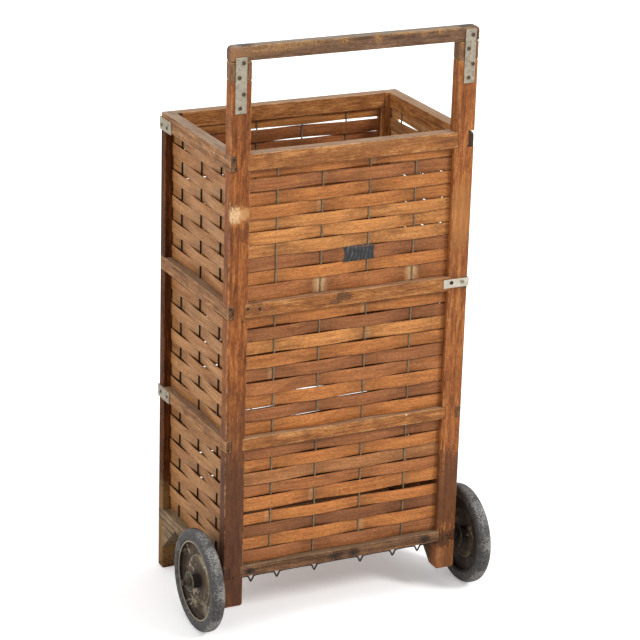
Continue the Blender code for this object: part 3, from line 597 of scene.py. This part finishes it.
def mark_slat(slat, tint, rng, wires, first, shares, beside, reach):
    """Writes the slat's tone with its painted highlight and shade, its own run of grain, the dirt
    and painted shade of its edges and ends, and its pale strips of wear and painted highlight
    beside the wires.
    """
    vertices = slat.data.vertices
    shift = Vector((rng.uniform(0, 9), rng.uniform(0, 9), rng.uniform(0, 9)))
    under = [(x + rng.choice((-1, 1)) * beside, rng.choice(shares))
             for i, x in enumerate(wires) if (i % 2 == 0) == first]
    step = (wires[-1] - wires[0]) / (len(wires) - 1)
    behind = wires[0] if first else wires[1]
    end = max(vertex.co.x for vertex in vertices)
    edge, end_shade = 1.6 * MM, 9 * MM
    shaded_tints, grain, rub_and_highlight, rim = [], [], [], []
    for vertex in vertices:
        # painted highlight and shade: a slat's tint is made lighter where it stands out and darker
        # where it dips behind a wire
        dip = 0.5 + 0.5 * math.cos(math.pi * (vertex.co.x - behind) / step)
        shaded_tints.extend((*(channel * (1.13 - 0.25 * dip * dip) for channel in tint[:3]), 1.0))
        grain.extend(vertex.co + shift)
        rub_and_highlight.append(max(share * max(0.0, 1 - abs(vertex.co.x - x) / reach) for x, share in under))
        # dirt and painted shade along the top and foot edges, and painted shade towards the ends
        # that sit in the posts
        rim.append(max(0.0, (abs(vertex.co.z) - SLAT_HEIGHT / 2 + edge) / edge,
                       1 - (end - abs(vertex.co.x)) / end_shade))
    for name, kind, field, values in (
            ("slat_tint_and_shade", "FLOAT_COLOR", "color", shaded_tints),
            ("slat_grain", "FLOAT_VECTOR", "vector", grain),
            ("slat_rub_and_highlight", "FLOAT", "value", rub_and_highlight), ("slat_rim_dirt_and_shade", "FLOAT", "value", rim)):
        slat.data.attributes.new(name, kind, "POINT").data.foreach_set(field, values)


def varied(code, rng, spread):
    """A tone made a little lighter or darker."""
    factor = 1 + rng.uniform(-spread, spread)
    return [min(1.0, channel * factor) for channel in linear(code)[:3]] + [1]


def weave_panel(node, slat, slack, wires, edges, first_inward, tones, stand, rng, finishes):
    """Copies of one slat, turned over from row to row, and the upright wires that they go round."""
    slats = []
    for row, (top, foot) in enumerate(zip(edges, edges[1:])):
        twin = copied(slack if (node, row) == SLACK_SLAT else slat, "slat", Matrix())
        turned_over = (row % 2 == 0) != first_inward
        tint = varied(TONES[tones[row % len(tones)]], rng, 0.08)
        # how the slat is painted pale beside its wires, as wear and painted highlight
        rubbed = HARD_RUB_AND_HIGHLIGHT if (node, row) == RUBBED_AND_HIGHLIT_SLAT else PALE_RUBS_AND_HIGHLIGHTS
        mark_slat(twin, tint, rng, wires, not turned_over, *rubbed)
        gap_first, gap_last = GAPS.get(node, {}).get(row, (0, 0))
        top -= (gap_first + gap_last) / 2 * MM
        height = top - foot - rng.uniform(0.5, 1.1) * OPENED.get(node, 1.0) * MM
        lean = math.radians(rng.uniform(-1.2, 1.2))
        skew = math.radians(rng.uniform(-0.06, 0.06))
        skew += (gap_last - gap_first) * MM / (2 * wires[-1] - 2 * wires[0])
        twin.data.transform(
            stand @ Matrix.Translation((0, 0, (top + foot) / 2))
            @ Matrix.Rotation(skew, 4, "Y") @ Matrix.Rotation(lean, 4, "X")
            @ Matrix.Diagonal((1, 1, height / SLAT_HEIGHT, 1))
            @ Matrix.Rotation(math.pi if turned_over else 0, 4, "X"))
        slats.append(twin)
    finished(joined(slats, node.replace("panel", "slats")), finishes["slats"], "slat_wood", node)
    foot, top = edges[-1], edges[0]
    # the wires of the left panel are painted near black as the shade in their slots, and drawn
    # thicker
    dark = "panel_left" in node
    radius = SHADED_WIRE_RADIUS if dark else WIRE_RADIUS
    wire = begin("upright_wire", bpy.ops.mesh.primitive_cylinder_add, vertices=10, radius=radius,
                 depth=top - foot, location=(0, 0, (top + foot) / 2))
    pick(wire, "edges", lambda e: runs_along(e, "z"))
    bpy.ops.mesh.subdivide(number_cuts=2 * len(edges) - 3)
    for high, low in zip(edges[1:], edges[2:]):
        level = (high + low) / 2
        pick(wire, "verts", lambda v: abs(v.co.z - level) < 8 * MM)
        bent = (rng.uniform(-0.5, 0.5) * MM, rng.uniform(-0.15, 0.15) * MM, 0)
        bpy.ops.transform.translate(value=bent)
    smooth(wire, 60)
    uprights = [copied(wire, "wire", stand @ Matrix.Translation((x, 0, 0))
                       @ Matrix.Diagonal((rng.choice((-1, 1)), 1, 1, 1))) for x in wires]
    bpy.data.objects.remove(wire)
    cage = joined(uprights, node.replace("panel", "wires"))
    bpy.ops.object.mode_set(mode="EDIT")
    finished(face_out(cage), finishes["shaded_wire" if dark else "wire"], "worn_steel")


def weave_basket(finishes):
    """The twelve fields, three on each side. The slats of the leg side and right side have opened
    wider gaps under the rim, which show from above."""
    rng = random.Random(11)
    end_low, end_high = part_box("panel_handle_side_top")
    side_low, side_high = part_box("panel_left_top")
    depth = middle("panel_left_top", "y")
    far_wires = tuple(-x for x in reversed(END_WIRES))
    right_wires = tuple(y - depth for y in SIDE_WIRES)
    left_wires = tuple(-x for x in reversed(right_wires))
    turns = (END_SWING, -END_SWING, END_SWING, -END_SWING)
    side_turns = (SIDE_SWING, -SIDE_SWING, SIDE_SWING)
    length, side_length = end_high.x - end_low.x, side_high.y - side_low.y
    # side, length, wires, turns round them, heights, which fields start with a slat that is inside
    # the first wire, tones, place and turn
    sides = (
        ("handle_side", length, END_WIRES, turns, END_ROWS, (True, True, False), HANDLE_TONES,
         (0, middle("panel_handle_side_top", "y"), 0), 0),
        ("leg_side", length, far_wires, turns, LEG_ROWS, (False, False, True), LEG_TONES,
         (0, middle("panel_leg_side_top", "y"), 0), math.pi),
        ("left", side_length, left_wires, side_turns, SIDE_ROWS, (True, True, False), LEFT_TONES,
         (middle("panel_left_top", "x"), depth, 0), -math.pi / 2),
        ("right", side_length, right_wires, side_turns, END_ROWS, (False, True, False), RIGHT_TONES,
         (middle("panel_right_top", "x"), depth, 0), math.pi / 2),
    )
    slack = model_slat("slack_slat", length, END_WIRES, (-END_SWING, *turns[1:]))
    for side, length, wires, swings, rows, inward, tones, place, turn in sides:
        slat = model_slat(f"{side}_slat", length, wires, swings)
        stand = Matrix.Translation(place) @ Matrix.Rotation(turn, 4, "Z")
        for field, first_inward in zip(END_ROWS, inward):
            weave_panel(f"panel_{side}_{field}", slat, slack, wires, rows[field], first_inward,
                        tones[field].split(), stand, rng, finishes)
        bpy.data.objects.remove(slat)
    bpy.data.objects.remove(slack)


# ---- wheels

def turned(name, section, centre, steps):
    """Spins a closed section, given as radius and x, round the wheel's axis."""
    start = previous = section[0]
    piece = begin(name, bpy.ops.mesh.primitive_plane_add, size=1 * MM,
                  location=(start[1], centre.y, centre.z + start[0]))
    bpy.ops.mesh.merge(type="CENTER")
    for radius, x in section[1:]:
        bpy.ops.mesh.extrude_vertices_move(
            TRANSFORM_OT_translate={"value": (x - previous[1], 0, radius - previous[0])})
        previous = (radius, x)
    pick(piece, "verts", lambda v: len(v.link_edges) == 1)
    bpy.ops.mesh.edge_face_add()
    bpy.ops.mesh.select_all(action="SELECT")
    bpy.ops.mesh.delete(type="ONLY_FACE")
    bpy.ops.mesh.select_all(action="SELECT")
    bpy.ops.mesh.spin(steps=steps, angle=2 * math.pi, center=centre, axis=(1, 0, 0))
    bpy.ops.mesh.select_all(action="SELECT")
    bpy.ops.mesh.remove_doubles(threshold=0.01 * MM)
    return face_out(piece)


def build_wheel(side, sign, finishes):
    """A solid tyre on a pressed disc with a turned hub, all round one axis. Outwards is sign.
    All sections are in mm, as radius and distance outwards from the wheel's middle."""
    low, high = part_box(f"tyre_{side}")
    centre = (low + high) / 2

    def turn(name, section, steps, angle, finish, slot, node):
        """One part of the wheel, from its section."""
        places = [(radius * MM, centre.x + sign * x * MM) for radius, x in section]
        piece = smooth(turned(f"{name}_{side}", places, centre, steps), angle)
        finished(piece, finishes[f"{finish}_{side}"], slot, f"{node}_{side}", body=f"wheel_{side}")

    outer, half = (high.z - low.z) / 2 / MM, (high.x - low.x) / 2 / MM
    shoulder = 10
    seat = outer - 19.5
    section = [(seat, 9.5), (seat + 2.5, half - 0.6), (seat + 5, half)]
    for i in range(7):
        angle = math.radians(90 * i / 6)
        section.append((outer - shoulder + shoulder * math.sin(angle),
                        half - shoulder + shoulder * math.cos(angle)))
    section += [(radius, -x) for radius, x in reversed(section)]
    turn("moulded_tyre", section, 96, 60, "rubber", "tyre_rubber", "tyre")

    low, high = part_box(f"wheel_disc_{side}")
    rim, half_rim = (high.z - low.z) / 2 / MM, (high.x - low.x) / 2 / MM
    bore = 12.3
    outside = [
        (bore, 3.8), (38.5, 3.8), (40.5, 3.3), (42.5, 1.5), (44.5, -0.2), (rim - 6, -0.2),
        (rim - 3, 0.6), (rim - 1.7, 2.4), (rim - 1.7, half_rim - 3), (rim - 2.6, half_rim - 1.2),
        (rim - 2.6, half_rim - 0.3), (rim - 1.6, half_rim), (rim, half_rim - 0.4)]
    inside = [
        (rim, 0.4 - half_rim), (rim - 1.6, -half_rim), (rim - 2.6, 0.3 - half_rim),
        (rim - 2.6, 1.2 - half_rim), (rim - 1.7, 3 - half_rim), (rim - 1.7, -4.2), (rim - 3, -2.6),
        (rim - 6, -2.2), (43.5, -2.2), (40, 1.4), (bore, 1.8)]
    turn("pressed_disc", outside + inside, 96, 40, "disc", "worn_steel", "wheel_disc")

    low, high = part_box(f"hub_{side}")
    reach_in, reach_out = (
        (x - abs(centre.x)) / MM for x in sorted((abs(low.x), abs(high.x))))
    hole, neck, barrel, flange, ease = 5.6, 8, 12, 20.5, 0.8
    turn("turned_hub", [
        (hole, reach_out), (barrel - ease, reach_out), (barrel, reach_out - ease), (barrel, -10.9),
        (flange - ease, -11.2), (flange, -12), (flange, -13), (flange - ease, -13.7),
        (neck, -13.7), (neck, reach_in + 0.4), (neck - 0.4, reach_in), (hole, reach_in)],
        64, 40, "hub", "worn_steel", "hub")


# ---- fastenings, lacing and tape

def model_screw(radius):
    """A round screw head that looks along -y, with a slot across it."""
    screw = begin("screw", bpy.ops.mesh.primitive_cylinder_add, vertices=20, radius=radius,
                  depth=1.6 * MM, rotation=(math.pi / 2, 0, 0))
    pick(screw, "edges", lambda e: all(v.co.y < 0 for v in e.verts))
    bpy.ops.mesh.bevel(offset=0.8 * MM, segments=3, affect="EDGES")
    pick(screw, "faces", lambda f: f.normal.y < -0.99)
    bpy.ops.mesh.inset(thickness=radius * 0.28)
    bpy.ops.mesh.extrude_region_move(TRANSFORM_OT_translate={"value": (0, 0.6 * MM, 0)})
    bpy.ops.transform.resize(value=(0.8, 1, 0.8))
    return smooth(screw, 40)


def drive_screws(finishes):
    """Screws in straps, brackets and the bottom rail, and nail heads in the posts."""
    screw = model_screw(3.4 * MM)

    def drive(name, finish, stands):
        """Copies of the screw as one piece."""
        heads = joined([copied(screw, name, stand) for stand in stands], name)
        finished(heads, finishes[finish], "worn_steel")

    def at(x, y, z, turn=0.0, size=(1, 1, 1)):
        """A place in mm, but y in metres, with a turn of the slot and a size."""
        return (Matrix.Translation((x * MM, y, z * MM)) @ Matrix.Rotation(turn, 4, "Y")
                @ Matrix.Diagonal((*size, 1)))

    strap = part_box("handle_strap_left")[0].y - 0.6 * MM
    for side, places in (("left", [(-202, 989.5), (-209, 966), (-201, 938.7), (-207, 916.4)]),
                         ("right", [(209, 1002.4), (202, 979.7), (211, 953.7), (204, 930.8)])):
        drive(f"strap_screws_{side}", "screw", [at(x, strap, z, x + z) for x, z in places])
    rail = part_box("rail_handle_side_bottom")[0].y - 0.5 * MM
    drive("rail_screws", "nail", [at(x, rail, 103.5, x) for x in (-173, -12, 24, 163)])
    nails = ((-214.5, 832, 0.75), (-211.5, 817, 0.6), (-216, 579, 0.6), (-213, 571, 0.5),
             (-217, 331, 0.6), (-186, 576.7, 0.8), (-164.5, 574, 0.8), (206, 104, 0.7),
             (197, 98, 0.6), (-204, 96, 0.7), (-195, 556, 0.5))
    drive("nail_heads", "nail",
          [at(x, FRONT - 0.2 * MM, z, size=(wide, 0.5, wide)) for x, z, wide in nails])
    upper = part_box("corner_bracket_upper")[0].y - 0.5 * MM
    drive("bracket_screw_dark", "nail", [at(190.4, upper, 575)])
    drive("bracket_screw_bright", "bright_screw", [at(211, upper, 575)])
    turn_left = Matrix.Rotation(-math.pi / 2, 4, "Z")
    for name, depths, height in (("rim", (280, 257), 817.5), ("lower", (275, 248), 337)):
        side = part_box(f"corner_bracket_{name}")[0].x
        drive(f"bracket_screws_{name}", "screw", [
            Matrix.Translation((side - 0.5 * MM, FRONT + y * MM, height * MM)) @ turn_left
            @ Matrix.Diagonal((0.85, 0.85, 0.85, 1)) for y in depths])
    bpy.data.objects.remove(screw)


def break_rail_end(finishes):
    """The splintered end of the right rim rail, which stands in the notch of the post."""
    low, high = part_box("rail_right_rim")
    size = Vector((10.6 * MM, 16 * MM, high.z - low.z - 0.6 * MM))
    centre = Vector((high.x - 0.3 * MM - size.x / 2, FRONT + 1.4 * MM + size.y / 2,
                     (low.z + high.z) / 2))
    stub = begin("splintered_rail_end", bpy.ops.mesh.primitive_cube_add, size=1, scale=size,
                 location=centre)
    pick(stub, "edges", lambda e: all(v.co.x > centre.x and v.co.z > centre.z for v in e.verts))
    bpy.ops.mesh.bevel(offset=8.6 * MM, segments=3, affect="EDGES")
    pick(stub, "edges", lambda e: all(v.co.y < centre.y for v in e.verts))
    bpy.ops.mesh.bevel(offset=0.8 * MM, segments=2, affect="EDGES")
    # its finish is painted very dark, as the shade in the notch
    finished(smooth(stub, 40), finishes["splinters"], "rail_wood")


def bend_lacing(finishes):
    """The wire under the handle side's bottom rail, bent down to a point at six places."""
    low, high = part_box("floor_lacing_wire")
    radius = 1.5 * MM
    level, depth = high.z - radius, high.z - low.z - 2 * radius
    y = (low.y + high.y) / 2
    route = [(low.x, y, level)]
    dip = ((-6.5, 0), (-4.5, 0.2), (-0.6, 0.96), (0.6, 0.96), (4.5, 0.2), (6.5, 0))
    for x in (-168.5, -120, -49, 39, 102, 150.6):
        for away, share in dip:
            route.append(((x + away) * MM, y, level - depth * share))
    route.append((high.x, y, level))
    clear_selection()
    bpy.ops.curve.primitive_nurbs_path_add()
    wire = bpy.context.object
    wire.name = "bent_lacing"
    spline = wire.data.splines[0]
    spline.points.add(len(route) - len(spline.points))
    for point, place in zip(spline.points, route):
        point.co = (*place, 1)
    spline.order_u = 3
    spline.use_endpoint_u = True
    spline.resolution_u = 4
    wire.data.bevel_depth = radius
    wire.data.bevel_resolution = 3
    wire.data.use_fill_caps = True
    bpy.ops.object.convert(target="MESH")
    finished(smooth(wire, 60), finishes["nail"], "worn_steel", "floor_lacing_wire")


def modified(piece, kind, **settings):
    """Applies one modifier to a piece."""
    select_only(piece)
    modifier = piece.modifiers.new(kind.lower(), kind)
    for name, value in settings.items():
        setattr(modifier, name, value)
    bpy.ops.object.modifier_apply(modifier=modifier.name)


def stick_tape(finishes):
    """A torn patch of cloth tape that lies on one slat of the top field."""
    face = middle("panel_handle_side_top", "y")
    x, z = 18 * MM, 645.4 * MM
    width, height = 57 * MM, 26 * MM
    tape = begin("tape_patch", bpy.ops.mesh.primitive_grid_add, x_subdivisions=24,
                 y_subdivisions=10, size=1, location=(x, face - 20 * MM, z),
                 rotation=(math.pi / 2, 0, 0))
    bpy.ops.mesh.select_all(action="SELECT")
    bpy.ops.transform.resize(value=(width, 1, height), center_override=(x, face, z))
    # its ends were torn: both are drawn in at the middle
    for end, drawn in ((-1, 3.2), (1, -1.6)):
        pick(tape, "verts", lambda v: (v.co.x - x) * end > 28 * MM and abs(v.co.z - z) < 3 * MM)
        pull(11 * MM, drawn * MM, 0, 0)
    modified(tape, "SHRINKWRAP", wrap_method="PROJECT", use_project_y=True,
             use_negative_direction=True, use_positive_direction=True,
             target=bpy.data.objects["slats_handle_side_top"], offset=0.3 * MM)
    modified(tape, "SOLIDIFY", thickness=0.4 * MM, offset=1)
    finished(smooth(tape, 40), finishes["tape"], "slat_wood")


# ---- finishes of the frame

# dark, middle and light tone of the wood
OILED = ("#6E4122", "#A26735", "#C88F56")
RUBBED = ("#5C3216", "#8C4E22", "#B4733A")
SIDES = ("#5A3820", "#92623A", "#B68855")
DARK = ("#3E2818", "#65442A", "#8A6240")
SHADED = ("#311608", "#50260C", "#75431C")
OLIVE = ("#453423", "#765E42", "#9B8262")

GOLD = "#BE8C50"
BLACK_STAIN = "#2E2018"
TOP_STAIN = "#2A211B"
RIM = {"tones": OILED, "worn": "#D2A878", "wear": 1.2}
DUSTY_RIM = {**RIM, "dusty": 0.8, "dust": "#84705B"}

# the way of the grain, by the start of a part's name
GRAIN = {"post": "z", "handle_block": "z", "rail_left": "y", "rail_right": "y", "axle_brace": "y",
         "leg_brace": "y", "handle_bar": "x", "rail_handle": "x", "rail_leg": "x", "floor": "x"}

# how wood looks, by the start of a part's name
LOOKS = {
    "post_handle_left": {
        "tones": RUBBED, "worn": "#CDA070", "wear": 1.2, "foot": 0.75, "dark_below": 0.40,
        "scuffs": [((-213, 0, 738), (11, 4, 14), "#E8C89C", 0.85)],
        "marks": [((-201, 0, 739), (22, 4, 13), "#CB9763", 0.7),
                  ((-213, 0, 738), (13, 4, 13), "#D3A778", 0.45),
                  ((-204, 0, 705), (40, 40, 16), "#5A3018", 0.45),
                  ((-206, 0, 886), (30, 30, 26), "#5A3018", 0.35)]},
    "post_handle_right": {
        "tones": ("#683A1B", "#9A592C", "#BE8044"), "worn": "#CDA070", "wear": 1.0,
        "marks": [((204, 0, 50), (60, 60, 70), "#80583A", 0.4),
                  ((204, 0, 185), (60, 60, 85), "#52321E", 0.75),
                  ((199, 0, 98), (20, 20, 18), "#2E1C12", 0.75),
                  ((204, 0, 690), (20, 30, 60), "#C98C50", 0.4)]},
    "post_leg_left": {
        "tones": SHADED, "worn": "#7A5636", "gloss": 0.1, "dusty": 0.8, "end": "#94806A",
        "marks": [((-204, 286, 85), (80, 80, 85), "#86663F", 0.85)]},
    "post_leg_right": {"tones": OILED, "worn": "#B98C5C", "foot": 0.7, "dusty": 0.8,
                       "end": "#94806A"},
    "handle_bar": {
        "tones": ("#4A3526", "#73543D", "#957458"), "worn": "#C0955F", "dust": "#857A6C",
        "dusty": 0.8,
        "marks": [((-217, 0, 1000), (16, 12, 20), "#94694A", 0.55),
                  ((-196, 8, 1017), (14, 30, 3), TOP_STAIN, 0.8),
                  ((200, 8, 1017), (16, 30, 3), TOP_STAIN, 0.8)],
        "scuffs": [((x, 0, z), (reach, 7, high), GOLD, share) for x, z, reach, high, share in (
            (-214, 1000, 20, 14, 0.3), (-172, 1009, 30, 10, 0.45), (-128, 1011, 26, 9, 0.6),
            (-84, 1013, 22, 6, 0.6), (-24, 1013, 10, 8, 0.7), (36, 1012, 7, 10, 0.7),
            (82, 1015, 26, 4, 0.6), (120, 1014, 10, 5, 0.6), (150, 1014, 10, 6, 0.8),
            (176, 1015, 8, 5, 0.6), (206, 1010, 12, 5, 0.5))]},
    "handle_block": {"tones": ("#4E3320", "#7E583A", "#A57C54"), "worn": "#B98A58", "wear": 2.0},
    "rail_handle_side_rim": {
        **RIM, "dusty": 0.75,
        "marks": [((-60, 0, 822), (90, 40, 12), "#7E4C28", 0.4),
                  ((60, 0, 830), (110, 40, 8), "#8A5A34", 0.45)]},
    "rail_handle_side_upper": {
        "tones": OILED, "worn": "#C59464", "wear": 1.0,
        "marks": [((-12, 0, 576), (17, 40, 9), "#553823", 0.8),
                  ((-26, 0, 568), (12, 40, 5), "#553823", 0.7),
                  ((-176, 0, 576), (24, 40, 10), "#6B4226", 0.5)]},
    "rail_handle_side_bottom": {
        "tones": ("#432C1C", "#6C4A30", "#916B49"), "worn": "#9A7A58", "dust": "#857058",
        "wear": 1.2,
        "marks": [((x, 0, z), (reach, 40, 8), BLACK_STAIN, 0.8) for x, z, reach in (
            (-173, 104, 11), (-10, 103, 15), (24, 104, 12), (163, 104, 12))]},
    "rail_leg_side_rim": DUSTY_RIM,
    "rail_leg_side_bottom": {"tones": DARK},
    "rail_left_rim": {"tones": ("#643F24", "#99693F", "#BF9264"), "worn": "#C7A27A", "dusty": 0.85,
                      "dust": "#8B7A67"},
    "rail_right_rim": DUSTY_RIM,
    "rail_left_bottom": {
        "tones": OLIVE, "sawn_dark": 0.95, "end": "#4B2D20", "wear": 0.1, "dust": "#8A775C",
        "marks": [((-216, 0, 104), (40, 3, 40), "#4A2A1A", 1.0)]},
    "rail_right_bottom": {"tones": RUBBED, "foot": 0.7, "dark_below": 0.27, "sawn_dark": 0.1, "wear": 0.1},
    "rail_left": {"tones": SIDES, "dusty": 0.75, "dust": "#8A7460"},
    "rail_right": {"tones": SIDES},
    "axle_brace": {"tones": DARK},
    "leg_brace": {"tones": OLIVE},
    "floor": {"tones": OILED, "dusty": 0.3},
}
PLAIN = {"tones": OILED, "dusty": 0.6}

# finishes of the metal parts, by the start of their names; @ is the side
METALS = {"corner_bracket_upper": "bright_zinc", "corner_bracket": "zinc", "handle_strap": "zinc",
          "inner_washer": "washer_@", "outer_washer": "washer_@", "axle_nut": "nut_@",
          "axle": "hub_left"}


def by_start(name, table, otherwise=None):
    """The first entry of a table whose key the name starts with."""
    return next((own for start, own in table.items() if name.startswith(start)), otherwise)


def dress_frame(finishes):
    """Gives every part of the frame that stays its own finish."""
    number = 0
    for name, node in nodes.items():
        along = by_start(name, GRAIN)
        if name == "floor_lacing_wire":
            continue
        if along:
            number += 1
            finish = aged_wood(f"aged_ash_{name}", along, name, seed=number * 0.37,
                               **by_start(name, LOOKS, PLAIN))
        else:
            finish = finishes.get(by_start(name, METALS, "").replace("@", name.rsplit("_", 1)[-1]))
        if finish:
            node.data.materials.clear()
            node.data.materials.append(finish)


def make_finishes():
    """The finishes that several parts share."""
    metals = {
        "zinc": ("weathered_zinc_sheet", "#B3AA9A", "#8A8070", "#6E5A46", 0.05, 0.45, 4.0),
        "bright_zinc": ("polished_zinc_sheet", "#D2CBBF", "#BBB1A1", "#7A5F45", 0.15, 0.5, 4.0),
        "bright_screw": ("plated_screw_steel", "#B5A893", "#5B4E3E", "#3B2A1D", 0.4, 0.5, 2.0),
        "wire": ("tarnished_tinned_wire", "#95866F", "#71634C", "#4F3C2A", 0.35, 0.5, 3.0),
        # near-black wire: painted shade for the wires of the left panel
        "shaded_wire": ("wire_in_painted_shade", "#1E1915", "#120F0C", "#17100B", 0.3, 0.7, 3.0),
        "screw": ("rusted_screw_steel", "#6F5F4C", "#483A2C", "#3B2A1D", 0.5, 0.5, 2.0),
        "nail": ("dark_nail_steel", "#40362C", "#2C241D", "#2A1F17", 0.5, 0.5, 2.0),
    }
    finishes = {name: weathered_metal(*look) for name, look in metals.items()}
    finishes["slats"] = split_ash()
    finishes["tape"] = friction_tape()
    # the broken rail end stands back in the post's notch: its very dark tones are painted shade
    finishes["splinters"] = aged_wood(
        "splintered_ash_in_painted_shade", "y", "rail_right_rim", ("#2A1A12", "#46301F", "#644834"),
        wear=0.1, dusty=0.3, end="#3A261B")
    # name, radius of the outermost ring in mm, share of chalky flakes, tones from the axle out
    turned_steel = {
        # the darkest ring of the hub, on its barrel under the flange, is painted shade
        "hub": ("oiled_turned_steel_and_shade", 22, 0.1,
                [(0.3, "#2C261F"), (0.6, "#1C1713"), (0.95, "#4A4233")]),
        "washer": ("worn_washer_steel", 18, 0.2,
                   [(0.4, "#2A251D"), (0.90, "#352E24"), (0.99, "#8D8472")]),
        "nut": ("worn_nut_steel", 9, 0.3,
                [(0.3, "#6B6252"), (0.6, "#352D23"), (0.95, "#5A5142")]),
    }
    # tones of the disc from the axle out: the dark ring round the hub and the dark rim wall are
    # painted shade, the light and dark rings at the step a painted highlight and shade
    disc_rings_and_shade = [(0.26, "#1E1712"), (0.34, "#3D2D1F"), (0.56, "#4E3D29"), (0.615, "#5C4D37"),
                  (0.64, "#93866C"), (0.665, "#2F2419"), (0.80, "#4A3926"), (0.95, "#302218"),
                  (1.0, "#21170F")]
    for side, flaked in (("left", 0.85), ("right", 0.5)):
        low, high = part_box(f"tyre_{side}")
        centre = (low + high) / 2
        finishes[f"rubber_{side}"] = cracked_rubber(f"perished_rubber_{side}", centre)
        finishes[f"disc_{side}"] = wheel_steel(
            f"rusted_pressed_steel_{side}", centre, 70, flaked, disc_rings_and_shade,
            inside=-1.6 * MM, lip=8.6 * MM,
            dusty=[(-16, 47, (20, 11)), (-26, -42, (11, 15)), (20, -50, (10, 8))])
        for part, (name, *look) in turned_steel.items():
            finishes[f"{part}_{side}"] = wheel_steel(f"{name}_{side}", centre, *look)
    return finishes


bpy.context.scene.view_settings.view_transform = "Standard"
light_the_world()
add_sun("key", (2.0, -2.6, 2.6), 1.9, 16)
add_sun("left_fill", (-3.0, -0.6, 1.8), 1.1, 40)
add_sun("overhead", (0.2, 0.4, 3.0), 0.8, 60)
lay_floor()
set_camera()
finishes = make_finishes()
dress_frame(finishes)
weave_basket(finishes)
build_wheel("left", -1, finishes)
build_wheel("right", 1, finishes)
drive_screws(finishes)
break_rail_end(finishes)
bend_lacing(finishes)
stick_tape(finishes)
